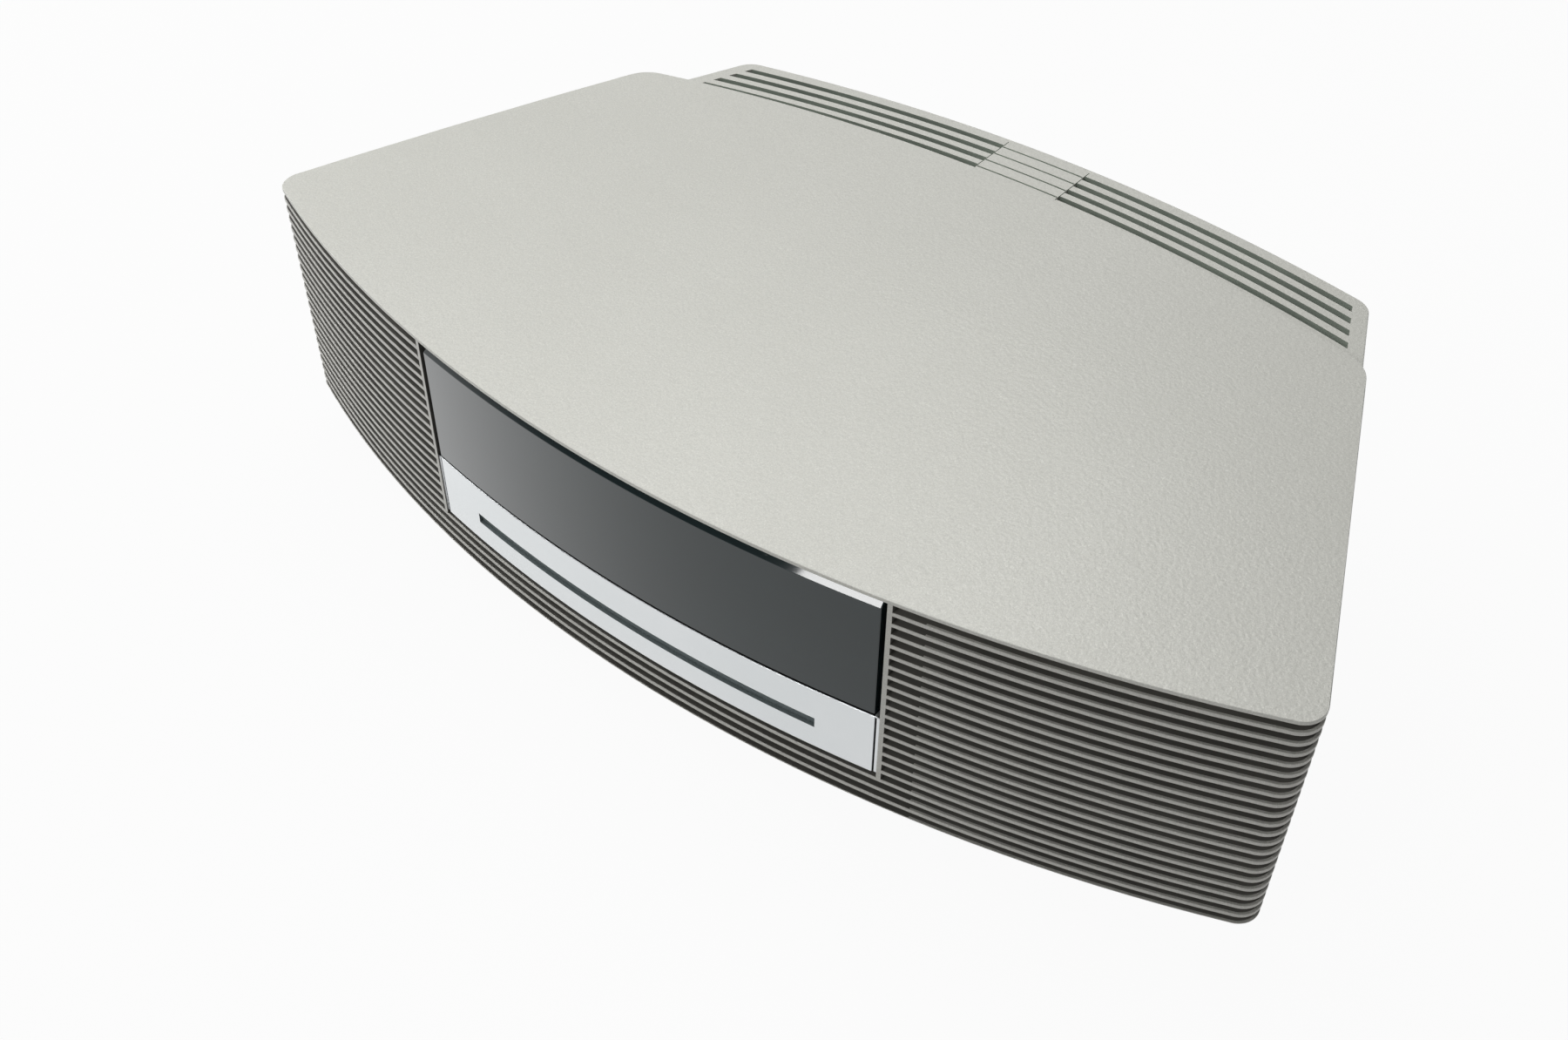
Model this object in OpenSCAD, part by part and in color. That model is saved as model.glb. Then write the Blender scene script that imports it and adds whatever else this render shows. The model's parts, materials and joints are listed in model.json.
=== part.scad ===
// Compact tabletop disc player and radio: a ribbed wrap-around housing, two folded
// loudspeaker ducts that end in curved top vents, and a slot-loading disc drive.
// Millimetres. The origin is the centre of the footprint on the table, the front faces -Y.

/* [Housing outline] */
// Width over the front corners
body_width = 366; // [350:1:380]
// Depth from the middle of the front to the middle of the back
body_depth = 219.5; // [212:0.5:228]
// Plan radius of the bowed front
front_radius = 479; // [440:1:520]
// Plan radius of the bowed back
rear_radius = 531.6; // [480:0.2:580]
// Angle at which each side closes in towards the back
side_taper = 21; // [18:0.5:23]
// Radius of the front corners
front_corner = 13; // [10:0.5:16]
// Radius of the rear corners
rear_corner = 8; // [6:0.5:10]

/* [Ribbed wrap] */
// Number of grooves round the housing
groove_count = 21; // [20:1:23]
// Height of one groove and one rib together
rib_pitch = 3.83; // [3.7:0.01:4]
// Height of the open groove
groove_height = 2.2; // [1.8:0.1:2.4]
// Depth of a groove
groove_depth = 2.6; // [2:0.1:3]
// Thickness of the wall behind the grooves
wall = 1.8; // [1.5:0.1:2.4]
// Height of the plain lip above the first groove
lip_height = 1.3; // [1:0.1:1.8]
// Width of the plain post beside the front opening
post_width = 2; // [1.5:0.1:3]
// Width of the open slots in front of each loudspeaker
sound_window = 58; // [50:1:62]

/* [Top cover and vents] */
// Rise of the crowned top above its front lip
crown_rise = 4.3; // [3:0.1:5.5]
// Distance of the highest line of the top from the front
crown_line = 165; // [155:1:175]
// Thickness of the top cover
cover_thickness = 2.6; // [2:0.1:3.2]
// Depth of the vent terrace behind the cover
terrace_depth = 35; // [33:0.5:38]
// Corner radius at the back of the cover
cover_corner = 7; // [5:0.5:9]
// Number of vent slots on each side
vent_count = 5; // [3:1:5]
// Distance of the first vent slot's middle from the rear edge
vent_first = 6.3; // [5.5:0.1:7]
// Distance from one vent slot to the next
vent_pitch = 5.65; // [5.2:0.05:5.8]
// Width of a vent slot
vent_width = 3; // [2.4:0.1:3.4]
// Half width of the closed bridge in the middle
vent_bridge = 16; // [12:1:22]
// Plain margin between the vent slots and the side
vent_margin = 6; // [5:0.5:9]

/* [Display and disc slot] */
// Width of the front opening
opening_width = 169.4; // [160:0.2:176]
// Gap round the lens and the fascia
front_gap = 1; // [0.6:0.1:1.4]
// Thickness of the lens and the fascia
front_thickness = 3; // [2.4:0.1:3.6]
// Height of the display lens
lens_height = 41; // [38:0.5:43]
// Chamfer along the top of the lens
lens_chamfer = 1.5; // [0.8:0.1:2]
// Width of the disc slot
slot_width = 131; // [126:0.5:134]
// Height of the disc slot
slot_height = 3.5; // [3:0.1:3.9]
// Distance of the disc slot's middle above the fascia's lower edge
slot_level = 10.3; // [9:0.1:12]

/* [Base] */
// Height of the rubber feet
foot_height = 3; // [2:0.5:5]
// Radius of the rubber feet
foot_radius = 8; // [6:0.5:10]
// Height of the recessed plinth
plinth_height = 11; // [9:0.5:16]
// Distance of the plinth in from the outline
plinth_inset = 14; // [12.5:0.5:15]
// Wall of the base tray
base_wall = 2.5; // [2:0.1:3]

/* [Rear sockets] */
// Width of the socket bay
bay_width = 150; // [140:1:156]
// Height of the socket bay
bay_height = 34; // [30:1:38]
// Depth of the socket bay
bay_depth = 13; // [11:0.5:15]
// Bore of the jack sockets
jack_bore = 3.6; // [3.5:0.05:3.8]
// Bore of the data socket
data_bore = 9; // [8.5:0.1:9.5]

/* [Loudspeakers] */
// Distance of each loudspeaker from the middle
speaker_offset = 126; // [122:0.5:128]
// Radius of the loudspeaker's frame
speaker_radius = 33; // [31:0.5:33.5]
// Radius of the cone
cone_radius = 24; // [22:0.5:25]
// Radius of the magnet
magnet_radius = 22.5; // [18:0.5:23]
// Thickness of the magnet
magnet_height = 9; // [7:0.5:10]
// Width of the duct wall
duct_wall = 2; // [1.6:0.1:2.4]

/* [Disc drive] */
// Diameter of the disc the drive is made for
disc_diameter = 120; // [119:0.1:121]
// Thickness of the disc
disc_thickness = 1.2; // [1.1:0.05:1.3]
// Distance of the spindle from the middle of the front
spindle_back = 89.75; // [89.25:0.25:90.5]
// Radius of the feed roller at its ends
roller_radius = 5.2; // [4.6:0.1:5.6]
// Radius of the roller's steel shaft
roller_shaft = 2; // [1.5:0.1:2.5]
// Radius of the turntable
turntable_radius = 14; // [12:0.5:15]
// Distance the pickup travels
pickup_travel = 31; // [28:0.5:31]
// Radius of the pickup's guide rods
rod_radius = 1.5; // [1.2:0.1:1.8]
// Tooth module of the gears
gear_module = 0.8; // [0.7:0.05:0.85]

/* [Fits] */
// Clearance between parts that are pushed together
fit = 0.2; // [0.15:0.05:0.3]
// Radial clearance of a turning shaft
running_fit = 0.04; // [0.02:0.01:0.08]
// Radial clearance of a sliding rod
sliding_fit = 0.03; // [0.01:0.01:0.05]

/* [Hidden] */
$fn = 48;
arc_fn = 360;      // facets of the large plan arcs
crown_steps = 24;  // strips that make up the crown
far = 700;         // larger than anything in the part

// ---- heights ----
z_plinth = foot_height;
z_shell = z_plinth + plinth_height;
z_lip = z_shell + lip_height + (groove_count - 1) * rib_pitch + groove_height;
z_front = z_lip + lip_height;
z_terrace = z_lip - rib_pitch + lip_height;
z_flange = z_shell + base_wall;
opening_grooves = groove_count - 3;
function groove_floor(i) = z_lip - (i - 1) * rib_pitch - groove_height;
z_opening = groove_floor(opening_grooves);
z_lens_top = z_lip - front_gap;
z_lens = z_lens_top - lens_height;
z_fascia_top = z_lens - front_gap;
z_fascia = z_opening + front_gap;
z_disc = z_fascia + slot_level;

// ---- plan ----
y_front = -body_depth / 2;
y_rear = body_depth / 2;
front_centre = y_front + front_radius;
rear_centre = y_rear - rear_radius;
side_normal = [cos(side_taper), sin(side_taper)];
side_run = [-sin(side_taper), cos(side_taper)];
corner_x = body_width / 2 - front_corner;
corner_y = front_centre - sqrt(pow(front_radius - front_corner, 2) - corner_x * corner_x);
side_reach = [corner_x, corner_y] * side_normal + front_corner;
wall_total = groove_depth + wall;
inner = wall_total + fit;
smallest_corner = 1.5;
corner_lap = 0.02; // lets the corner circles cross the long arcs instead of touching them

// where a line parallel to the side, reach s from the middle, meets a circle on the Y axis
function on_side(s, cy, r, back) =
    let (q = s * side_normal - [0, cy],
         b = q * side_run,
         c = q * q - r * r)
    s * side_normal + (-b + (back ? 1 : -1) * sqrt(b * b - c)) * side_run;
function unit2(v) = v / norm(v);
// point at height y on the side line, set in by d
function side_x(y, d) = (side_reach - d - y * side_normal[1]) / side_normal[0];
function front_y(x, d) = front_centre - sqrt(pow(front_radius - d, 2) - x * x);
function rear_y(x, d) = rear_centre + sqrt(pow(rear_radius - d, 2) - x * x);

// housing outline set in by d; back_cut moves the back edge forward by that much
module outline(d = 0, back_cut = 0, back_corner = rear_corner) {
    rf = max(front_corner - d, smallest_corner);
    rr = max(back_corner - d, smallest_corner);
    front_r = front_radius - d;
    rear_r = rear_radius - back_cut - d;
    cf = on_side(side_reach - d - rf, front_centre, front_r - rf, false);
    cr = on_side(side_reach - d - rr, rear_centre, rear_r - rr, true);
    to_front = unit2(cf - [0, front_centre]);
    to_rear = unit2(cr - [0, rear_centre]);
    beyond = 60;
    half = [cf + (rf + beyond) * to_front, cf + rf * to_front, cf + rf * side_normal,
            cr + rr * side_normal, cr + rr * to_rear, cr + (rr + beyond) * to_rear];
    intersection() {
        translate([0, front_centre]) circle(r = front_r, $fn = arc_fn);
        translate([0, rear_centre]) circle(r = rear_r, $fn = arc_fn);
        polygon(concat(half, [for (i = [len(half) - 1:-1:0]) [-half[i][0], half[i][1]]]));
    }
    for (s = [-1, 1]) {
        translate([s * cf[0], cf[1]]) circle(r = rf + corner_lap);
        translate([s * cr[0], cr[1]]) circle(r = rr + corner_lap);
    }
}

// mirrored copy for the left side
module for_side(s) {
    if (s < 0) mirror([1, 0, 0]) children();
    else children();
}

module cover_outline(d = 0) { outline(d, terrace_depth, cover_corner); }

// height of the crowned top, a shallow arc from front to back
crown_radius = (pow(crown_line, 2) + pow(crown_rise, 2)) / (2 * crown_rise);
function crown_z(y) = z_front + crown_rise - crown_radius
    + sqrt(pow(crown_radius, 2) - pow(y - y_front - crown_line, 2));

// everything below the crowned top, lowered by drop
module under_crown(drop = 0) {
    y0 = y_front - 5;
    step = (body_depth - terrace_depth + 10) / crown_steps;
    rotate([90, 0, 90]) translate([0, 0, -far / 2]) linear_extrude(height = far)
        polygon(concat([[y0 + crown_steps * step, 0], [y0, 0]],
                       [for (i = [0:crown_steps]) [y0 + i * step, crown_z(y0 + i * step) - drop]]));
}

module slab(z0, z1) { translate([0, 0, z0]) linear_extrude(height = z1 - z0) children(); }

// bar that follows the front, between two insets
module front_bar(half_width, inset0, inset1) {
    intersection() {
        difference() {
            translate([0, front_centre]) circle(r = front_radius - inset0, $fn = arc_fn);
            translate([0, front_centre]) circle(r = front_radius - inset1, $fn = arc_fn);
        }
        translate([-half_width, y_front - 1]) square([2 * half_width, 80]);
    }
}

// ---- housing ----
post_inset = wall_total + 5;
post_radius = 3.5;
screw_radius = 1.5;
screw_head = 3;
skirt = 4;
skirt_wall = 1.6;
cover_corner_y = on_side(side_reach - cover_corner, rear_centre,
                         rear_radius - terrace_depth - cover_corner, true)[1];
cover_posts = [for (y = [y_front + 70, cover_corner_y - 26]) [side_x(y, post_inset), y]];
rear_post_x = bay_width / 2 + 13;
grille_posts = [[side_x(y_rear - 40, post_inset), y_rear - 40], [rear_post_x, rear_y(rear_post_x, post_inset)]];

module posts(places, z1) {
    for (s = [-1, 1], p = places) translate([s * p[0], p[1], z_flange]) difference() {
        cylinder(r = post_radius, h = z1 - z_flange);
        translate([0, 0, -1]) cylinder(r = screw_radius + 0.05, h = 13);
    }
}

module top_cover() color([0.78, 0.78, 0.75]) {
    difference() {
        intersection() {
            slab(z_lip, z_front + crown_rise + 1) cover_outline();
            under_crown();
        }
        intersection() {
            slab(z_lip - 1, z_front + crown_rise + 1) cover_outline(inner + skirt_wall);
            under_crown(cover_thickness);
        }
    }
    // the plate goes on below the lip where the crown is lowest
    intersection() {
        slab(z_lip - skirt, z_lip) difference() {
            cover_outline(inner + skirt_wall);
            translate([-far / 2, y_front + crown_line / 2]) square([far, far]);
        }
        difference() {
            under_crown();
            under_crown(cover_thickness);
        }
    }
    // skirt that locates the cover inside the wrap
    slab(z_lip - skirt, z_lip) difference() {
        cover_outline(inner);
        cover_outline(inner + skirt_wall);
        translate([-opening_width / 2 - 5, y_front - 1]) square([opening_width + 10, 40]);
        translate([-far / 2, cover_corner_y - 12]) square([far, far]);
    }
    // riser down to the vent terrace
    slab(z_terrace, z_lip) difference() {
        cover_outline();
        cover_outline(skirt_wall);
        translate([-far / 2, -far + cover_corner_y]) square([far, far]);
    }
    intersection() {
        posts(cover_posts, z_front + crown_rise);
        under_crown(cover_thickness / 2);
    }
}
module groove_region(full) {
    intersection() {
        difference() {
            outline(-2);
            outline(groove_depth);
        }
        difference() {
            translate([-far / 2, -far + rear_stop]) square([far, far]);
            if (!full) translate([-opening_width / 2 - post_width, -far])
                square([opening_width + 2 * post_width, far]);
        }
    }
}
rear_stop = on_side(side_reach - rear_corner, rear_centre, rear_radius - rear_corner, true)[1] - 4;
window_start = opening_width / 2 + 14;
window_step = 0.2;

module ribbed_wrap() color([0.64, 0.63, 0.6]) difference() {
    slab(z_shell, z_lip) difference() {
        outline();
        outline(wall_total);
    }
    for (i = [1:groove_count])
        slab(groove_floor(i), groove_floor(i) + groove_height + (i == 1 ? 1 : 0))
            groove_region(i > opening_grooves);
    // open slots behind the grooves, in front of each loudspeaker
    for (i = [2:groove_count - 1])
        slab(groove_floor(i) + window_step, groove_floor(i) + groove_height - window_step)
            for (s = [-1, 1]) for_side(s) intersection() {
                difference() {
                    outline(groove_depth - 1);
                    outline(wall_total + 1);
                }
                translate([window_start, y_front]) square([sound_window, 60]);
            }
    // front opening for the display and the fascia
    translate([-opening_width / 2, y_front - 1, z_opening]) cube([opening_width, 30, far]);
    // step down to the vent terrace
    slab(z_lip - rib_pitch, z_lip + 1) difference() {
        translate([-far / 2, cover_corner_y]) square([far, far]);
        cover_outline();
    }
    // room for the cover's riser
    slab(z_terrace, z_lip + 1) difference() {
        translate([-far / 2, cover_corner_y]) square([far, far]);
        cover_outline(skirt_wall);
    }
    // rear window of the socket bay
    translate([-bay_width / 2, 0, z_bay]) cube([bay_width, far, bay_height]);
}
z_bay = z_flange + 9.5;

module vent_slots() {
    for (i = [0:vent_count - 1]) {
        r = rear_radius - vent_first - i * vent_pitch;
        difference() {
            translate([0, rear_centre]) circle(r = r + vent_width / 2, $fn = arc_fn);
            translate([0, rear_centre]) circle(r = r - vent_width / 2, $fn = arc_fn);
        }
    }
}
module side_wedge(d) {
    y0 = 0;
    y1 = y_rear + 10;
    polygon([[vent_bridge, y0], [side_x(y0, d), y0], [side_x(y1, d), y1], [vent_bridge, y1]]);
}

module vent_grille() color([0.76, 0.76, 0.73]) {
    tuck = 8;
    difference() {
        union() {
            slab(z_lip - rib_pitch, z_terrace) difference() {
                outline();
                cover_outline();
                translate([-far / 2, -far + cover_corner_y]) square([far, far]);
            }
            slab(z_terrace - cover_thickness, z_terrace) difference() {
                outline(inner);
                translate([0, rear_centre])
                    circle(r = rear_radius - terrace_depth - tuck, $fn = arc_fn);
            }
        }
        slab(z_terrace - far, z_terrace + 1) for (s = [-1, 1]) for_side(s)
            intersection() {
                vent_slots();
                side_wedge(vent_margin);
            }
        // the slats carry on across the bridge as fine grooves
        slab(z_terrace - 0.6, z_terrace + 1) intersection() {
            for (i = [0:vent_count - 1]) {
                r = rear_radius - vent_first - i * vent_pitch;
                difference() {
                    translate([0, rear_centre]) circle(r = r + 0.5, $fn = arc_fn);
                    translate([0, rear_centre]) circle(r = r - 0.5, $fn = arc_fn);
                }
            }
            translate([-vent_bridge + 1, 0]) square([2 * vent_bridge - 2, far]);
        }
    }
    posts(grille_posts, z_terrace - cover_thickness);
}

foot_places = [[body_width / 2 - 53, y_front + 57.75], [side_x(y_rear - 48, plinth_inset) - 25, y_rear - 48]];
module base_tray() color([0.13, 0.13, 0.13]) difference() {
    union() {
        slab(z_plinth, z_flange) outline(plinth_inset);
        slab(z_shell - 1.2, z_shell) outline(wall_total / 2);
        slab(z_shell - 1, z_flange) outline(inner);
    }
    difference() {
        slab(z_plinth + base_wall, z_flange + 1) outline(plinth_inset + base_wall);
        // bosses under the drive and the main board
        for (s = [-1, 1], p = mount_places)
            translate([s * p[0], p[1], 0]) cylinder(r = 5.5, h = z_mount);
        for (p = board_posts) translate([p[0], p[1], 0]) cylinder(r = 4, h = z_board);
    }
    for (s = [-1, 1], p = concat(cover_posts, grille_posts))
        translate([s * p[0], p[1], 0]) {
            cylinder(r = screw_radius + fit, h = far);
            cylinder(r = screw_head + 0.4, h = z_shell + 0.8);
        }
    for (s = [-1, 1], p = foot_places)
        translate([s * p[0], p[1], z_plinth - 1]) cylinder(r = foot_radius + fit, h = 1.8);
}

module rubber_feet() color([0.08, 0.08, 0.08])
    for (s = [-1, 1], p = foot_places) translate([s * p[0], p[1], 0])
        rotate_extrude() polygon([[0, 0], [foot_radius - 0.8, 0], [foot_radius, 0.8],
                                  [foot_radius, foot_height + 0.8], [0, foot_height + 0.8]]);

module case_screws() color([0.3, 0.3, 0.32])
    for (s = [-1, 1], p = concat(cover_posts, grille_posts))
        translate([s * p[0], p[1], z_shell + 0.8]) {
            cylinder(r = screw_radius, h = base_wall - 0.8 + 10);
            difference() {
                translate([0, 0, -1.8]) cylinder(r = screw_head, h = 1.8);
                for (a = [0, 90]) rotate(a) translate([-1.6, -0.3, -2.8]) cube([3.2, 0.6, 2]);
            }
        }

// ---- front ----
frame_back = inner + 2;
felt_pocket = 2;

module display_frame() color([0.05, 0.05, 0.055]) difference() {
    union() {
        slab(z_opening + 0.3, z_lip - 0.3) front_bar(opening_width / 2 - fit, front_thickness + fit, inner + 0.5);
        slab(z_opening - 4, z_lip - skirt) front_bar(opening_width / 2 + 7, inner, frame_back);
        for (s = [-1, 1], z = board_holes) translate([s * board_hole_x, board_y, z])
            rotate([90, 0, 0]) cylinder(r = 3, h = board_y - front_y(board_hole_x, frame_back) + 1);
    }
    // window behind the display lens
    slab(z_lens + 3, z_lens_top - 4) front_bar(board_hole_x - 4.5, 0, frame_back + 3);
    // passage for the disc
    slab(z_disc - slot_height / 2 - 1, z_disc + slot_height / 2 + 1)
        front_bar(slot_width / 2 + 1.5, 0, frame_back + 3);
}

module bar_profile(half_width, z0, z1, top_chamfer, edge) {
    r0 = front_radius - fit - front_thickness;
    r1 = front_radius - fit;
    intersection() {
        translate([0, front_centre, 0]) rotate_extrude($fn = arc_fn)
            polygon([[r0, z0], [r1 - edge, z0], [r1, z0 + edge], [r1, z1 - top_chamfer],
                     [r1 - top_chamfer, z1], [r0, z1]]);
        translate([-half_width, y_front - 1, z0 - 1]) cube([2 * half_width, 60, z1 - z0 + 2]);
    }
}

module display_lens() color([0.22, 0.25, 0.26])
    bar_profile(opening_width / 2 - front_gap, z_lens, z_lens_top, lens_chamfer, 0.3);

module disc_fascia() color([0.86, 0.88, 0.89]) difference() {
    bar_profile(opening_width / 2 - front_gap + fit, z_fascia, z_fascia_top, 0.5, 0.5);
    slab(z_disc - slot_height / 2, z_disc + slot_height / 2)
        front_bar(slot_width / 2, -1, front_thickness + 2);
    // lead-in along the lower lip of the slot
    intersection() {
        translate([0, front_centre, 0]) rotate_extrude($fn = arc_fn)
            polygon([[front_radius - fit - 1, z_disc - slot_height / 2 + 0.1],
                     [front_radius - fit + 0.1, z_disc - slot_height / 2 - 0.8],
                     [front_radius - fit + 0.1, z_disc - slot_height / 2 + 0.1]]);
        translate([-slot_width / 2, y_front - 1, 0]) cube([slot_width, 60, far]);
    }
}

module slot_felt() color([0.2, 0.22, 0.22])
    for (s = [-1, 1]) slab(z_disc + (s < 0 ? -slot_height / 2 - 0.9 : 0.3),
                           z_disc + (s < 0 ? -0.3 : slot_height / 2 + 0.9))
        front_bar(slot_width / 2 + 1.3, front_thickness + fit + 0.3, frame_back - 0.5);

module grille_cloth() slab(z_flange + 1, z_lip - skirt - 1) intersection() {
    difference() {
        outline(wall_total + 0.1);
        outline(wall_total + 0.6);
    }
    translate([window_start - 3, y_front]) square([sound_window + 6, 60]);
}
module cloth_left() color([0.1, 0.1, 0.1]) for_side(-1) grille_cloth();
module cloth_right() color([0.1, 0.1, 0.1]) for_side(1) grille_cloth();

// display board behind the lens
board_thickness = 1.6;
board_hole_x = opening_width / 2 - 12;
board_half = board_hole_x + 6;
board_y = front_y(board_hole_x, frame_back) + 6;
tube_half = board_hole_x - 12;
board_holes = [z_lens + 6, z_lens_top - 6];
module display_board() color([0.1, 0.3, 0.16]) difference() {
    translate([-board_half, board_y, z_lens - 2]) cube([2 * board_half, board_thickness, lens_height]);
    for (s = [-1, 1], z = board_holes) translate([s * board_hole_x, board_y - 1, z])
        rotate([-90, 0, 0]) cylinder(r = 1.3, h = 4);
}
module display_tube() color([0.15, 0.2, 0.2]) {
    translate([-tube_half, board_y - 6, z_lens + 6]) cube([2 * tube_half, 6, lens_height - 13]);
    translate([tube_half, board_y - 3, z_lens + lens_height / 2]) rotate([0, 90, 0]) cylinder(r = 1.6, h = 4);
}

// ---- rear sockets ----
bay_y = y_rear - bay_depth - 2;   // outer face of the socket plate
plate = 2;
jack_places = [16, 30, 44];       // the jacks' distances from the middle
jack_z = z_bay + 9;
jack_depth = 14;
data_x = 62;
data_z = z_bay + 12;
data_depth = 9;
inlet_x = -48;
inlet_z = z_bay + bay_height / 2;
inlet_size = [15, 8];
inlet_flange = [22, 15];
inlet_depth = 11;
pin_gap = 8.6;

module bay_box(grow, y0) translate([-bay_width / 2 - grow, y0, z_bay - grow])
    cube([bay_width + 2 * grow, far, bay_height + 2 * grow]);

module rear_panel() color([0.09, 0.09, 0.095]) difference() {
    intersection() {
        union() {
            bay_box(1.8, bay_y - plate);
            // flange behind the rear wall
            slab(z_bay - 4, z_bay + bay_height + 4) difference() {
                translate([-bay_width / 2 - 5, 0]) square([bay_width + 10, far]);
                translate([0, rear_centre]) circle(r = rear_radius - inner - 2, $fn = arc_fn);
            }
        }
        slab(0, far) translate([0, rear_centre]) circle(r = rear_radius - inner, $fn = arc_fn);
    }
    bay_box(0, bay_y);
    for (x = jack_places) translate([x, bay_y - plate - 1, jack_z])
        rotate([-90, 0, 0]) cylinder(r = 4 + fit, h = plate + 2);
    translate([data_x, bay_y - plate - 1, data_z])
        rotate([-90, 0, 0]) cylinder(r = data_bore / 2 + 1.5 + fit, h = plate + 2);
    translate([inlet_x - inlet_size[0] / 2 - 1.5 - fit, bay_y - plate - 1, inlet_z - inlet_size[1] / 2 - 1.5 - fit])
        cube([inlet_size[0] + 3 + 2 * fit, plate + 2, inlet_size[1] + 3 + 2 * fit]);
}

// socket with its mouth at the socket plate and a body on the main board
module socket_body(x, z, bore, depth, barrel, size) {
    difference() {
        union() {
            translate([x, bay_y - plate - 1, z]) rotate([-90, 0, 0]) cylinder(r = barrel, h = plate + 2);
            translate([x - size / 2, bay_y - plate - depth - 1.5, z_board + board_thickness])
                cube([size, depth + 1.5 - fit, z + size / 2 - z_board - board_thickness]);
        }
        translate([x, bay_y + 1 - depth, z]) rotate([-90, 0, 0]) cylinder(r = bore / 2, h = depth + 1);
    }
}

module jack_block() color([0.1, 0.1, 0.1])
    for (x = jack_places) socket_body(x, jack_z, jack_bore, jack_depth, 4, 11);

module data_socket() color([0.12, 0.12, 0.12]) {
    socket_body(data_x, data_z, data_bore, data_depth, data_bore / 2 + 1.5, 14);
    // contact pins and key at the bottom of the bore
    for (a = [30:60:330]) translate([data_x + 2.6 * cos(a), bay_y + 0.5 - data_depth, data_z + 2.6 * sin(a)])
        rotate([-90, 0, 0]) cylinder(r = 0.45, h = 5, $fn = 16);
}

module rounded_slot(w, h) {
    for (s = [-1, 1]) translate([s * (w - h) / 2, 0]) circle(r = h / 2);
    square([w - h, h], center = true);
}

module mains_inlet() color([0.08, 0.08, 0.08]) translate([inlet_x, bay_y, inlet_z]) rotate([90, 0, 0]) {
    difference() {
        union() {
            translate([0, 0, -1.5]) linear_extrude(height = 1.5)
                square([inlet_flange[0], inlet_flange[1]], center = true);
            linear_extrude(height = inlet_depth + 2)
                square([inlet_size[0] + 3, inlet_size[1] + 3], center = true);
        }
        translate([0, 0, -2]) linear_extrude(height = inlet_depth + 2)
            rounded_slot(inlet_size[0], inlet_size[1]);
    }
    for (s = [-1, 1]) translate([s * pin_gap / 2, 0, 1]) cylinder(r = 1.2, h = inlet_depth);
}

// ---- electronics ----
z_board = z_plinth + 20.5;
board_edge = bay_y - plate - 4;
board_front = board_edge - 33;
board_x = [-14, 74];
board_posts = [for (x = board_x + [6, -6], y = [board_front + 6, board_edge - 6]) [x, y]];
module main_board() color([0.1, 0.32, 0.16]) {
    difference() {
        translate([board_x[0], board_front, z_board]) cube([board_x[1] - board_x[0], board_edge - board_front, board_thickness]);
        for (p = board_posts) translate([p[0], p[1], z_board - 1]) cylinder(r = 1.6, h = 4);
    }
    // capacitors and a tuner can
    for (x = [-6, 6]) translate([x, board_front + 16, z_board + board_thickness]) cylinder(r = 5, h = 16);
    translate([56, board_front + 4, z_board + board_thickness]) cube([16, 10, 9]);
}
module heat_sink() color([0.5, 0.5, 0.52]) translate([18, board_front + 3, z_board + board_thickness]) {
    cube([34, 3, 24]);
    for (i = [0:6]) translate([i * 5.2, 3, 0]) cube([1.6, 8, 24]);
}
module transformer() color([0.42, 0.36, 0.3]) translate([-70, board_front + 1, z_plinth + base_wall]) {
    cube([50, 18, 40]);
    translate([9, -3.5, 6]) cube([32, 25, 28]);
    for (x = [-3, 50]) translate([x, 4, 0]) cube([3, 10, 2.5]);
}

// ---- loudspeakers and ducts ----
speaker_inset = wall_total + 4.6;
speaker_turn = asin(speaker_offset / (front_radius - speaker_inset));
z_duct_top = z_terrace - cover_thickness - 1;
speaker_z = (z_flange + z_duct_top) / 2;
basket_flange = 2;
baffle = 5.5;
basket_depth = 18;
basket_radius = speaker_radius - 5;
plate_height = 4;
coil_radius = 7.5;
surround_width = 3;

// frame of the right loudspeaker: the axis is +Z, which points into the housing
module at_speaker() translate([speaker_offset, front_y(speaker_offset, speaker_inset), speaker_z])
    rotate([0, 0, speaker_turn]) rotate([-90, 0, 0]) children();

module basket() difference() {
    rotate_extrude() polygon([
        [cone_radius + surround_width, 0], [speaker_radius, 0], [speaker_radius, basket_flange],
        [basket_radius, basket_flange], [magnet_radius - 2, basket_depth - 2], [magnet_radius - 2, basket_depth],
        [15, basket_depth], [15, basket_depth - 2], [magnet_radius - 4.5, basket_depth - 2],
        [basket_radius - 1, basket_flange + 1], [cone_radius + surround_width, basket_flange + 1]]);
    for (a = [45:90:315]) rotate([0, 0, a]) translate([basket_radius - 13, -7, basket_flange + 3])
        cube([20, 14, basket_depth - basket_flange - 6.5]);
    for (a = [45:90:315]) rotate([0, 0, a]) translate([speaker_radius - 2.6, 0, -1]) cylinder(r = 1.3, h = 5);
}
module magnet() {
    back = basket_depth + plate_height + magnet_height;
    difference() {
        union() {
            translate([0, 0, basket_depth]) cylinder(r = magnet_radius - 2, h = plate_height);
            translate([0, 0, basket_depth + plate_height]) cylinder(r = magnet_radius, h = magnet_height);
        }
        translate([0, 0, basket_depth - 1]) cylinder(r = coil_radius + 0.8, h = plate_height + magnet_height + 1.01);
    }
    translate([0, 0, back]) cylinder(r = magnet_radius - 2, h = 3.5);
    translate([0, 0, basket_depth + 0.5]) cylinder(r = coil_radius - 1, h = back - basket_depth);
}
module cone() rotate_extrude() polygon([
    [0, 7.2], [4, 7.9], [coil_radius, 9.6], [cone_radius - 0.5, 2.6], [cone_radius, 2.6],
    [cone_radius, 3.4], [coil_radius + 0.4, 11.6], [coil_radius + 0.4, basket_depth + plate_height + 2],
    [coil_radius - 0.2, basket_depth + plate_height + 2], [coil_radius - 0.2, 10.6], [4, 8.7], [0, 8]]);
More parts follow.
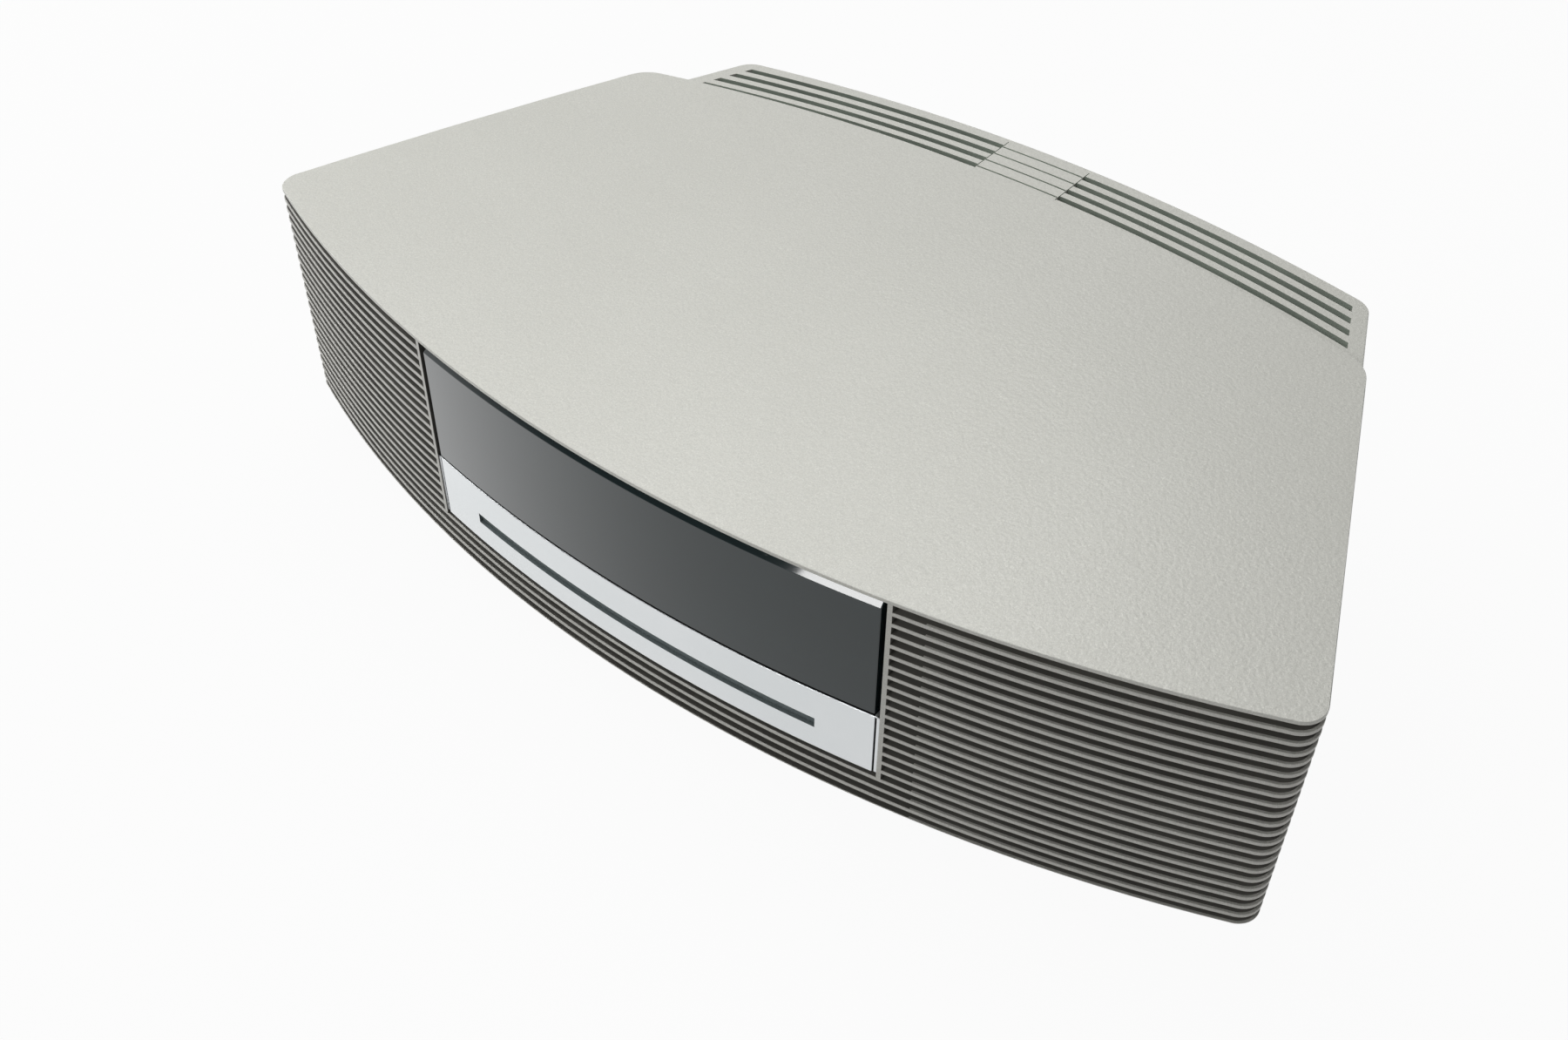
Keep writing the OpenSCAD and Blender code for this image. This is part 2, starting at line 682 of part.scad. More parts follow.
module surround() translate([0, 0, 3]) rotate_extrude() difference() {
    translate([cone_radius + surround_width / 2 + 0.05, 0]) circle(r = surround_width / 2 - 0.05);
    translate([cone_radius + surround_width / 2 + 0.05, 0]) circle(r = surround_width / 2 - 0.55);
    translate([cone_radius - 1, 0]) square([surround_width + 2, 3]);
}
module spider() translate([0, 0, basket_depth - 4.2]) rotate_extrude() polygon([
    [coil_radius + 0.45, 0], [9, 0.8], [10.5, 0], [12, 0.8], [13.5, 0], [17.2, 0],
    [17.2, 0.4], [13.6, 0.4], [12, 1.2], [10.5, 0.4], [9, 1.2], [coil_radius + 0.45, 0.4]]);

module duct_area(d) intersection() {
    outline(plinth_inset + d);
    translate([opening_width / 2 - 4 + d, -far / 2]) square([far, far]);
    translate([speaker_offset, front_y(speaker_offset, speaker_inset)]) rotate(speaker_turn)
        translate([-far / 2, basket_flange + 2.9 + d]) square([far, far]);
}
module plenum_area(d) intersection() {
    outline(plinth_inset + d);
    translate([vent_bridge + 2 + d, duct_turn + d]) square([far, far]);
}
// straight wall between two plan points
module wall_line(p, q) {
    n = duct_wall / 2 * unit2([p[1] - q[1], q[0] - p[0]]);
    polygon([p + n, q + n, q - n, p - n]);
}
duct_fold = y_front + 74; // where the chamber ends and the folds begin
duct_turn = y_rear - 48;  // rear end of the folds
duct_opening = 20;    // clear length round the end of each fold
function duct_at(share, y) = let (x0 = opening_width / 2 - 2, x1 = side_x(y, plinth_inset + 1))
    [x0 + (x1 - x0) * share, y];

module duct() {
    z_plenum = z_bay + bay_height + 6;
    difference() {
        union() {
            slab(z_flange, z_flange + duct_wall) duct_area(0);
            slab(z_flange + 0.5, z_duct_top) {
                difference() {
                    duct_area(0);
                    duct_area(duct_wall);
                }
                wall_line(duct_at(0.34, duct_fold), duct_at(1, duct_fold));
                wall_line(duct_at(0.34, duct_fold), duct_at(0.34, duct_turn - duct_opening));
                wall_line(duct_at(0.67, duct_fold + duct_opening), duct_at(0.67, duct_turn));
                wall_line(duct_at(0, duct_turn), duct_at(0.67, duct_turn));
            }
            slab(z_duct_top - duct_wall, z_duct_top) difference() {
                duct_area(0);
                translate([0, duct_turn]) square([far, far]);
            }
            slab(z_plenum, z_duct_top) difference() {
                plenum_area(0);
                plenum_area(duct_wall);
                translate([opening_width / 2 - 3, 0]) square([far, far]);
            }
            slab(z_plenum, z_plenum + duct_wall) difference() {
                plenum_area(0);
                translate([opening_width / 2 - 3, 0]) square([far, far]);
            }
            // baffle that the loudspeaker is screwed to
            at_speaker() translate([-speaker_radius - 2, -(z_duct_top - z_flange) / 2, basket_flange])
                cube([2 * speaker_radius + 4, z_duct_top - z_flange, baffle]);
        }
        at_speaker() translate([0, 0, -1]) cylinder(r = basket_radius + 1, h = 12);
        // way from the fold into the plenum behind the socket bay
        translate([opening_width / 2 - 6, duct_turn + duct_wall, z_plenum + duct_wall])
            cube([8, 30, far]);
    }
}

module basket_left() color([0.25, 0.25, 0.26]) for_side(-1) at_speaker() basket();
module basket_right() color([0.25, 0.25, 0.26]) for_side(1) at_speaker() basket();
module magnet_left() color([0.35, 0.35, 0.36]) for_side(-1) at_speaker() magnet();
module magnet_right() color([0.35, 0.35, 0.36]) for_side(1) at_speaker() magnet();
module cone_left() color([0.16, 0.16, 0.17]) for_side(-1) at_speaker() cone();
module cone_right() color([0.16, 0.16, 0.17]) for_side(1) at_speaker() cone();
module surround_left() color([0.07, 0.07, 0.07]) for_side(-1) at_speaker() surround();
module surround_right() color([0.07, 0.07, 0.07]) for_side(1) at_speaker() surround();
module spider_left() color([0.75, 0.6, 0.3]) for_side(-1) at_speaker() spider();
module spider_right() color([0.75, 0.6, 0.3]) for_side(1) at_speaker() spider();
module duct_left() color([0.2, 0.2, 0.21]) for_side(-1) duct();
module duct_right() color([0.2, 0.2, 0.21]) for_side(1) duct();

// ---- gears ----
pressure_angle = 20;
backlash = 0.12;
gear_width = 3.5;
function gear_radius(teeth) = gear_module * teeth / 2;
function involute_angle(k) = let (t = sqrt(k * k - 1)) t * 180 / PI - atan(t);
function polar(r, a) = [r * cos(a), r * sin(a)];
// turn of a gear that meshes at direction a from a gear already turned by turn
function mesh_turn(a, turn, teeth, next_teeth) =
    a + 180 - 180 / next_teeth + (a - turn) * teeth / next_teeth;

module gear_shape(teeth) {
    r = gear_radius(teeth);
    base = r * cos(pressure_angle);
    tip = r + 0.85 * gear_module;
    root = r - 1.2 * gear_module;
    half = 90 / teeth - backlash / 2 / r * 180 / PI;
    flank = [for (q = [base + 0.01, (base + tip) / 2, tip])
        [q, half + involute_angle(r / base) - involute_angle(q / base)]];
    foot = [root, flank[0][1]];
    up = concat([foot], flank);
    polygon([for (i = [0:teeth - 1]) each concat(
        [for (f = up) polar(f[0], i * 360 / teeth - f[1])],
        [for (k = [len(up) - 1:-1:0]) polar(up[k][0], i * 360 / teeth + up[k][1])])]);
}
module gear(teeth, turn, bore) linear_extrude(height = gear_width) difference() {
    rotate(turn) gear_shape(teeth);
    if (bore > 0) circle(r = bore);
}
// rack along X with a gap at x = 0; the teeth point to +Y and the pitch line is y = 0
module rack_shape(x0, x1) {
    p = PI * gear_module;
    tip = 0.85 * gear_module;
    root = 1.2 * gear_module;
    half = p / 4 - backlash / 2;
    slope = tan(pressure_angle);
    first = ceil((x0 + half + root) / p - 0.5);
    last = floor((x1 - half - root) / p - 0.5);
    translate([x0, -root - 1]) square([x1 - x0, 1.01]);
    for (i = [first:last]) translate([(i + 0.5) * p, 0]) polygon([
        [-half - root * slope, -root], [half + root * slope, -root],
        [half - tip * slope, tip], [-half + tip * slope, tip]]);
}

// ---- disc drive ----
steel = 1.2;
spindle_y = y_front + spindle_back;
disc_radius = disc_diameter / 2;
disc_under = z_disc - disc_thickness / 2;
disc_over = z_disc + disc_thickness / 2;
chassis_half = disc_radius + 2.8;
chassis_front = front_y(chassis_half + steel, frame_back) + 0.8;
chassis_back = spindle_y + disc_radius + 10;
z_chassis = disc_under - 18.4;
z_guide = disc_over + 1.8;
mount_places = [[disc_radius - 5, spindle_y - disc_radius - 2], [disc_radius - 5, chassis_back - 6]];
z_mount = z_chassis - 3;

// feed roller and its train, outside the left wall of the chassis
roller_y = spindle_y - disc_radius - 7;
roller_z = disc_under - roller_radius;
roller_teeth = 18;
idler_teeth = 28;
motor_teeth = 12;
idler_angle = -25;
motor_angle = -15;
gear_x = -chassis_half - steel - 1.8 - gear_width;
idler_at = [roller_y, roller_z] + polar(gear_radius(roller_teeth) + gear_radius(idler_teeth), idler_angle);
motor_at = idler_at + polar(gear_radius(idler_teeth) + gear_radius(motor_teeth), motor_angle);
idler_turn = mesh_turn(idler_angle, 0, roller_teeth, idler_teeth);
motor_turn = mesh_turn(motor_angle, idler_turn, idler_teeth, motor_teeth);
stud_radius = 1.5;
motor_shaft = 1;
load_motor_radius = 9.5;
load_motor_length = 24;

// frame for parts that turn about X: local x is Y, local y is Z, local z is X
module about_x(x, at) translate([x, at[0], at[1]]) rotate([90, 0, 90]) children();

// traverse that carries the turntable and the pickup
hinge_at = [spindle_y + 52, z_chassis + 6];
hinge_x = [-14, 52];
hinge_width = 4;
traverse_x = [-17, 61.3];
traverse_y = [spindle_y - 25, spindle_y + 47];
z_traverse = z_chassis + 5;
traverse_plate = 2;
rod_y = [spindle_y - 20, spindle_y + 20];
rod_z = z_traverse + 6;
rod_x = [12.5, 61.3];
pickup_start = 24;
pickup_half = 4;
pickup_back = 12;
sled_teeth = 20;
sled_motor_teeth = 14;
rack_y = rod_y[1] + 6;
sled_gear_at = [25, rack_y + gear_radius(sled_teeth)];
sled_pinion_at = sled_gear_at + [gear_radius(sled_teeth) + gear_radius(sled_motor_teeth), 0];
z_sled_gear = rod_z - 2;
spindle_motor_radius = 11;
spindle_motor_height = 7;
sled_motor_radius = 8;
clamp_at = [spindle_y + 64, z_guide + 7.5];
arm_plate = 2;
puck_radius = 15;
puck_stem = 4;
puck_hole = 18;

module drive_chassis() color([0.6, 0.61, 0.62]) {
    difference() {
        union() {
            // floor and side walls of one folded sheet
            translate([-chassis_half - steel, chassis_front, z_chassis])
                cube([2 * (chassis_half + steel), chassis_back - chassis_front, steel]);
            for (s = [-1, 1]) translate([s > 0 ? chassis_half : -chassis_half - steel, chassis_front, z_chassis])
                cube([steel, chassis_back - chassis_front, z_guide - z_chassis]);
            // tab that carries the feed motor
            translate([-chassis_half - steel, motor_at[0] - 13, z_chassis - 8]) cube([steel, 26, 20]);
        }
        // well for the traverse
        translate([traverse_x[0] - 2, traverse_y[0] - 2, z_chassis - 1])
            cube([traverse_x[1] - traverse_x[0] + 2.7, traverse_y[1] - traverse_y[0] + 2.5, steel + 2]);
        // well for the feed motor
        translate([-chassis_half, motor_at[0] - load_motor_radius - 1, z_chassis - 1])
            cube([load_motor_length + 2, 2 * load_motor_radius + 2, steel + 2]);
        about_x(-far / 2, [roller_y, roller_z]) cylinder(r = roller_shaft + running_fit, h = far);
        about_x(-chassis_half - steel - 1, motor_at) cylinder(r = 3, h = steel + 2);
        for (s = [-1, 1], p = mount_places) translate([s * p[0], p[1], z_chassis - 1])
            cylinder(r = 3.5, h = steel + 2);
    }
    about_x(gear_x - 0.6, idler_at) cylinder(r = stud_radius, h = -chassis_half - gear_x + 0.1);
    // ears and pins of the traverse hinge
    for (x = hinge_x) {
        translate([x + hinge_width + 0.3, hinge_at[0] - 4, z_chassis + steel / 2])
            cube([steel, 8, hinge_at[1] + 3 - z_chassis - steel / 2]);
        about_x(x - 0.5, hinge_at) cylinder(r = stud_radius, h = hinge_width + 1.5);
    }
}

module drive_mounts() color([0.12, 0.12, 0.13])
    for (s = [-1, 1], p = mount_places) translate([s * p[0], p[1], 0]) rotate_extrude() polygon([
        [0, z_mount], [6, z_mount], [6, z_chassis], [3.3, z_chassis], [3.3, z_chassis + steel],
        [5, z_chassis + steel], [4.2, z_chassis + steel + 2], [0, z_chassis + steel + 2]]);

module disc_guide() color([0.55, 0.56, 0.57]) {
    difference() {
        translate([-chassis_half - steel, chassis_front, z_guide])
            cube([2 * (chassis_half + steel), chassis_back - chassis_front, steel]);
        translate([0, spindle_y, z_guide - 1]) cylinder(r = puck_hole, h = steel + 2);
        for (s = [-1, 1]) translate([s * 40, spindle_y, z_guide - 1]) cylinder(r = 14, h = steel + 2);
    }
    for (s = [-1, 1]) for_side(s) {
        translate([12, clamp_at[0] - 4, z_guide + steel / 2]) cube([steel, 8, clamp_at[1] + 3 - z_guide - steel / 2]);
        about_x(7, clamp_at) cylinder(r = stud_radius, h = 5.5);
        // runners that keep the disc's face off the plate
        translate([disc_radius - 4, chassis_front + 3, z_guide - 1]) cube([3, chassis_back - chassis_front - 6, 1.01]);
    }
}

module roller_rubber() color([0.1, 0.1, 0.1]) about_x(-disc_radius + 1, [roller_y, roller_z])
    rotate_extrude() polygon([
        [roller_shaft, 0], [roller_radius, 0], [roller_radius - 0.8, disc_radius - 4], [roller_radius - 0.8, disc_radius + 2],
        [roller_radius, 2 * disc_radius - 2], [roller_shaft, 2 * disc_radius - 2]]);
module roller_axle() color([0.75, 0.75, 0.76]) {
    about_x(gear_x - 0.5, [roller_y, roller_z])
        cylinder(r = roller_shaft, h = chassis_half + steel + 2 - gear_x + 0.5);
    about_x(gear_x, [roller_y, roller_z]) gear(roller_teeth, 0, 0);
}
module load_motor() color([0.7, 0.7, 0.7]) difference() {
    about_x(-chassis_half, motor_at) cylinder(r = load_motor_radius, h = load_motor_length);
    about_x(-chassis_half - 1, motor_at) cylinder(r = motor_shaft + running_fit, h = 12);
}
module load_pinion() color([0.85, 0.8, 0.6]) {
    about_x(gear_x - 0.5, motor_at) cylinder(r = motor_shaft, h = -chassis_half - gear_x + 8);
    about_x(gear_x, motor_at) gear(motor_teeth, motor_turn, 0);
}
module load_idler() color([0.9, 0.9, 0.86]) about_x(gear_x, idler_at)
    gear(idler_teeth, idler_turn, stud_radius + running_fit);

module traverse() color([0.5, 0.51, 0.53]) difference() {
    union() {
        translate([traverse_x[0], traverse_y[0], z_traverse])
            cube([traverse_x[1] - traverse_x[0], traverse_y[1] - traverse_y[0], traverse_plate]);
        for (x = hinge_x) hull() {
            about_x(x, hinge_at) cylinder(r = 3.5, h = hinge_width);
            translate([x, traverse_y[1] - 4, z_traverse]) cube([hinge_width, 3, traverse_plate]);
        }
        for (x = [rod_x[0], rod_x[1] - 2], y = rod_y)
            translate([x, y - 2.8, z_traverse]) cube([x > 30 ? 2 : 3, 5.6, rod_z + 2.5 - z_traverse]);
        translate([sled_gear_at[0], sled_gear_at[1], z_traverse])
            cylinder(r = stud_radius, h = z_sled_gear + gear_width + 0.6 - z_traverse);
        translate([sled_gear_at[0], sled_gear_at[1], z_traverse])
            cylinder(r = stud_radius + 1.5, h = z_sled_gear - 0.2 - z_traverse);
    }
    // well under the pickup
    translate([rod_x[0] + 0.5, rod_y[0] + 3.2, z_traverse - 1])
        cube([rod_x[1] - rod_x[0] - 3, rod_y[1] - rod_y[0] - 6.4, traverse_plate + 2]);
    translate([0, spindle_y, z_traverse - 1]) cylinder(r = 3, h = traverse_plate + 2);
    translate([sled_pinion_at[0], sled_pinion_at[1], z_traverse - 1]) cylinder(r = 2.5, h = traverse_plate + 2);
    for (x = hinge_x) about_x(x - 1, hinge_at) cylinder(r = stud_radius + running_fit, h = hinge_width + 2);
    for (y = rod_y) about_x(rod_x[0] - 1, [y, rod_z]) cylinder(r = rod_radius, h = rod_x[1] - rod_x[0] + 2);
}
module guide_rods() color([0.8, 0.8, 0.82])
    for (y = rod_y) about_x(rod_x[0], [y, rod_z]) cylinder(r = rod_radius, h = rod_x[1] - rod_x[0]);
module spindle_motor() color([0.72, 0.72, 0.74])
    translate([0, spindle_y, z_traverse + traverse_plate]) difference() {
        cylinder(r = spindle_motor_radius, h = spindle_motor_height);
        translate([0, 0, 1]) cylinder(r = motor_shaft + running_fit, h = spindle_motor_height);
    }
module turntable() color([0.15, 0.15, 0.16]) translate([0, spindle_y, disc_under]) rotate_extrude() polygon([
    [0, -spindle_motor_height - 2.5], [motor_shaft, -spindle_motor_height - 2.5], [motor_shaft, -3.6], [5, -3.6], [5, -2],
    [turntable_radius, -2], [turntable_radius, 0], [7.4, 0], [7.4, 1.2], [4.5, 3.2], [0, 3.2]]);

module pickup() color([0.22, 0.22, 0.24]) {
    x0 = pickup_start - pickup_back;
    x1 = pickup_start + pickup_half;
    difference() {
        union() {
            translate([x0, rod_y[0] + 3.5, rod_z - 2.5]) cube([x1 - x0, rod_y[1] - rod_y[0] - 7, 5.5]);
            for (y = rod_y) translate([x1 - 12, y - 3.6, rod_z - 2.8]) cube([12, 7.2, 5.6]);
            // rack bar on the rear bearing
            translate([pickup_start - 33, rack_y - 1.2 * gear_module - 1.8, rod_z - 2]) cube([37, 1.8, gear_width]);
        }
        for (y = rod_y) about_x(0, [y, rod_z]) cylinder(r = rod_radius + sliding_fit, h = far / 2);
    }
    translate([sled_gear_at[0], rack_y, z_sled_gear]) linear_extrude(height = gear_width)
        rack_shape(pickup_start - 33 - sled_gear_at[0], x1 - sled_gear_at[0]);
    translate([pickup_start, spindle_y, rod_z + 2]) cylinder(r = 3.2, h = 2.6);
}
module sled_motor() color([0.7, 0.7, 0.7]) translate([sled_pinion_at[0], sled_pinion_at[1], z_traverse - 11])
    difference() {
        cylinder(r = sled_motor_radius, h = 11);
        translate([0, 0, 3]) cylinder(r = motor_shaft + running_fit, h = 10);
    }
module sled_gear() color([0.9, 0.9, 0.86]) translate([sled_gear_at[0], sled_gear_at[1], z_sled_gear])
    gear(sled_teeth, -90, stud_radius + running_fit);
module sled_pinion() color([0.85, 0.8, 0.6]) translate([sled_pinion_at[0], sled_pinion_at[1], z_sled_gear]) {
    gear(sled_motor_teeth, mesh_turn(0, -90, sled_teeth, sled_motor_teeth), 0);
    translate([0, 0, z_traverse - 7 - z_sled_gear]) cylinder(r = motor_shaft, h = z_sled_gear - z_traverse + 8);
}
module clamp_arm() color([0.62, 0.63, 0.64]) difference() {
    union() {
        about_x(-11.5, clamp_at) cylinder(r = 3.2, h = 23);
        translate([0, 0, clamp_at[1] - arm_plate / 2]) linear_extrude(height = arm_plate) union() {
            polygon([[-9, clamp_at[0]], [9, clamp_at[0]], [7, spindle_y], [-7, spindle_y]]);
            translate([0, spindle_y]) circle(r = 8);
        }
    }
    about_x(-12.5, clamp_at) cylinder(r = stud_radius + running_fit, h = 25);
    translate([0, spindle_y, 0]) cylinder(r = puck_stem + running_fit, h = far);
}
module clamp_puck() color([0.14, 0.14, 0.15]) translate([0, spindle_y, disc_over + 0.3]) rotate_extrude() polygon([
    [0, 2.9], [9, 2.9], [9, 0], [puck_radius, 0], [puck_radius, 3], [6.5, 3.6],
    [6.5, clamp_at[1] - arm_plate / 2 - 0.3 - disc_over - 0.3], [puck_stem, clamp_at[1] - arm_plate / 2 - 0.3 - disc_over - 0.3],
    [puck_stem, clamp_at[1] + arm_plate / 2 - disc_over], [6.5, clamp_at[1] + arm_plate / 2 - disc_over],
    [6.5, clamp_at[1] + arm_plate / 2 + 1.4 - disc_over], [0, clamp_at[1] + arm_plate / 2 + 1.4 - disc_over]]);

top_cover();
ribbed_wrap();
vent_grille();
base_tray();
rear_panel();
display_frame();
display_lens();
disc_fascia();
slot_felt();
rubber_feet();
case_screws();
cloth_left();
cloth_right();
basket_left();
magnet_left();
cone_left();
surround_left();
spider_left();
duct_left();
basket_right();
magnet_right();
cone_right();
surround_right();
spider_right();
duct_right();
display_board();
display_tube();
main_board();
heat_sink();
transformer();
jack_block();
data_socket();
mains_inlet();
drive_chassis();
drive_mounts();
disc_guide();
roller_rubber();
roller_axle();
load_motor();
load_pinion();
load_idler();
traverse();
guide_rods();
spindle_motor();
turntable();
pickup();
sled_motor();
sled_gear();
sled_pinion();
clamp_arm();
clamp_puck();
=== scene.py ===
# Looks of a compact tabletop disc radio: ribbed wrap, crowned cover, vent deck, display lens and disc fascia.
# Shapes are drawn in millimetres and scaled to metres when a piece is finished.
import bpy, bmesh, json, math
from mathutils import Vector, Matrix
from mathutils.bvhtree import BVHTree


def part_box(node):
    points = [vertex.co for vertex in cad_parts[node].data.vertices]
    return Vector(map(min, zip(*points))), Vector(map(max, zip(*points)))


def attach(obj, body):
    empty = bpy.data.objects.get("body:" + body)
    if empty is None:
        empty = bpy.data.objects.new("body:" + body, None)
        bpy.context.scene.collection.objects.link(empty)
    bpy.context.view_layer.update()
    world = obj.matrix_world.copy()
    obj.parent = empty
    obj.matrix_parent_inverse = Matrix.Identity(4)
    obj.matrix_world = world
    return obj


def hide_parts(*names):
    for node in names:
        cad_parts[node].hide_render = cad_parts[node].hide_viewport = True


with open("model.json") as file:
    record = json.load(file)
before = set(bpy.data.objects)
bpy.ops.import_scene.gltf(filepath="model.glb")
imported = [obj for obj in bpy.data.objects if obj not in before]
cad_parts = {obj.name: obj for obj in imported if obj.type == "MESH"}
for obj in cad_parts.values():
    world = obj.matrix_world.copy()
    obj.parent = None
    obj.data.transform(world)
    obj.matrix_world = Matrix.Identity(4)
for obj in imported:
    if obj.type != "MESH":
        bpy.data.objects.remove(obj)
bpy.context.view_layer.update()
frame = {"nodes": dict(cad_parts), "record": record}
mm = 0.001
up = Vector((0, 0, 1))
scene = bpy.context.scene
print("frame loaded:", len(frame["nodes"]), "nodes")


def lowest(node):
    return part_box(node)[0] / mm


def highest(node):
    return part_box(node)[1] / mm


# camera, settled by the image points below
cameraSetup = {
    "azimuth": 38.44, "elevation": 42.64, "roll": 0.476,   # degrees
    "place": (243.6, -343.3, 386.5),                       # mm
    "lens": 38.3, "sensor": 36.0,
}
photoSize = (1568, 1040)
imagePoints = {                     # in the photograph scaled to a long side of 1568
    "left": 285.7, "right": 1365.9, "top": 66.2, "bottom": 924.2,
    "lensLeftTop": (421.3, 349.0), "lensRightTop": (881.4, 607.4), "lensRightBottom": (874.4, 714.1),
    "fasciaRightTop": (876.1, 717.7), "fasciaRightBottom": (872.5, 772.1),
    "slotLeft": (480.5, 520.3), "slotRight": (814.6, 727.7),
    "coverRearLeft": (636.8, 72.7), "coverFrontRight": (1319.5, 717.4), "wrapFrontRight": (1254.4, 919.0),
    "ventLeftEnd": (754.4, 70.1), "ventRightEnd": (1354.6, 306.6),
    "bridgeLeft": (1006.1, 143.7), "bridgeRight": (1083.7, 178.6),
}


def cameraAxes(setup):
    azimuth, elevation, roll = (math.radians(setup[k]) for k in ("azimuth", "elevation", "roll"))
    back = Vector((math.sin(azimuth) * math.cos(elevation), -math.cos(azimuth) * math.cos(elevation),
                   math.sin(elevation)))
    level = up.cross(back).normalized()
    right = math.cos(roll) * level + math.sin(roll) * back.cross(level)
    return right, back.cross(right), back


def makeCamera(setup):
    data = bpy.data.cameras.new("camera")
    data.lens, data.sensor_width, data.sensor_fit = setup["lens"], setup["sensor"], "AUTO"
    data.clip_start, data.clip_end = 0.01, 20
    camera = bpy.data.objects.new("camera", data)
    scene.collection.objects.link(camera)
    turn = Matrix(cameraAxes(setup)).transposed().to_4x4()
    camera.matrix_world = Matrix.Translation(Vector(setup["place"]) * mm) @ turn
    scene.camera = camera
    return camera


camera = makeCamera(cameraSetup)


def toImage(place):
    # where a point in metres falls in the image points' frame
    right, top, back = cameraAxes(cameraSetup)
    offset = place - Vector(cameraSetup["place"]) * mm
    scale = max(photoSize) * cameraSetup["lens"] / cameraSetup["sensor"] / -offset.dot(back)
    return photoSize[0] / 2 + offset.dot(right) * scale, photoSize[1] / 2 - offset.dot(top) * scale


def seenAt(point, tree):
    # the place in metres where the ray through an image point meets a finished surface
    right, top, back = cameraAxes(cameraSetup)
    width, height = photoSize
    longSide = max(photoSize)
    shiftX, shiftY = camera.data.shift_x, camera.data.shift_y
    ray = (right * (point[0] - width / 2 + shiftX * longSide) + top * (height / 2 - point[1] + shiftY * longSide)
           - back * (longSide * cameraSetup["lens"] / cameraSetup["sensor"])).normalized()
    start = Vector(cameraSetup["place"]) * mm
    hit = tree.ray_cast(start, ray)[0]
    if hit is None:
        # a miss takes the place on the piece nearest the ray
        steps = [start + ray * (0.3 + 0.002 * i) for i in range(200)]
        hit = min((tree.find_nearest(s) + (s,) for s in steps), key=lambda n: n[3])[0]
    return hit


# ---------- finishes ----------
class Socket:
    # wraps a node's output, so that shader maths reads as Python
    def __init__(self, finish, out):
        self.finish, self.out = finish, out

    def math(self, operation, *others):
        return self.finish.node("ShaderNodeMath", {"operation": operation}, dict(enumerate((self, *others))))

    def __add__(self, other): return self.math("ADD", other)
    def __mul__(self, other): return self.math("MULTIPLY", other)
    def __sub__(self, other): return self.math("SUBTRACT", other)
    def __rsub__(self, other): return (self * -1.0) + other
    __radd__, __rmul__ = __add__, __mul__

    def between(self, low, high, first=0.0, last=1.0):
        # a smooth step from first to last as the value goes from low to high
        return self.finish.node("ShaderNodeMapRange", {"interpolation_type": "SMOOTHSTEP", "clamp": True},
                                {"Value": self, "From Min": low, "From Max": high, "To Min": first, "To Max": last})


class Finish:
    # one material and its nodes
    def __init__(self, name):
        self.material = bpy.data.materials.new(name)
        self.material.use_nodes = True
        self.tree = self.material.node_tree
        self.tree.nodes.clear()
        self.place = self.node("ShaderNodeTexCoord", {}, {}, "Object")

    def node(self, kind, settings={}, inputs={}, out=0):
        made = self.tree.nodes.new(kind)
        for key, value in settings.items():
            if key == "stops":
                for stop, colour in zip(made.color_ramp.elements, value):
                    stop.position, stop.color = colour[0], (*colour[1], 1)
            else:
                setattr(made, key, value)
        for key, value in inputs.items():
            if isinstance(value, Socket):
                self.tree.links.new(value.out, made.inputs[key])
            else:
                made.inputs[key].default_value = value
        return Socket(self, made.outputs[out])

    def noise(self, size, detail=2.0, roughness=0.5, stretch=(1, 1, 1), kind="ShaderNodeTexNoise"):
        # a noise whose features measure about size mm; stretch makes them longer along an axis
        scaled = self.node("ShaderNodeMapping", {}, {"Vector": self.place, "Scale": [1 / s for s in stretch]})
        return self.node(kind, {}, {"Vector": scaled, "Scale": 1 / (size * mm), "Detail": detail,
                                    "Roughness": roughness})

    def cells(self, size, feature="SMOOTH_F1"):
        return self.node("ShaderNodeTexVoronoi", {"feature": feature},
                         {"Vector": self.place, "Scale": 1 / (size * mm)})

    def mix(self, factor, first, second):
        # two colours mixed
        return self.node("ShaderNodeMix", {"data_type": "RGBA"},
                         {0: factor, 6: (*first, 1) if isinstance(first, tuple) else first,
                          7: (*second, 1) if isinstance(second, tuple) else second}, 2)

    def bump(self, height, depth, under=None):
        # relief of depth mm, on top of another relief where one is given
        inputs = {"Height": height, "Distance": depth * mm, "Strength": 1.0}
        if under:
            inputs["Normal"] = under
        return self.node("ShaderNodeBump", {}, inputs)

    def surface(self, **inputs):
        # the material's one shader; a plain colour gets its alpha here
        named = {k.replace("_", " "): (*v, 1) if isinstance(v, tuple) else v for k, v in inputs.items()}
        shader = self.node("ShaderNodeBsdfPrincipled", {}, named)
        output = self.tree.nodes.new("ShaderNodeOutputMaterial")
        self.tree.links.new(shader.out, output.inputs["Surface"])
        return self.material


platinum = {
    "light": (0.60, 0.60, 0.555), "dark": (0.585, 0.585, 0.54),
    "grain": 1.2, "grainDepth": 0.1, "fleck": 0.3, "fleckDepth": 0.02, "roughness": 0.44,
}


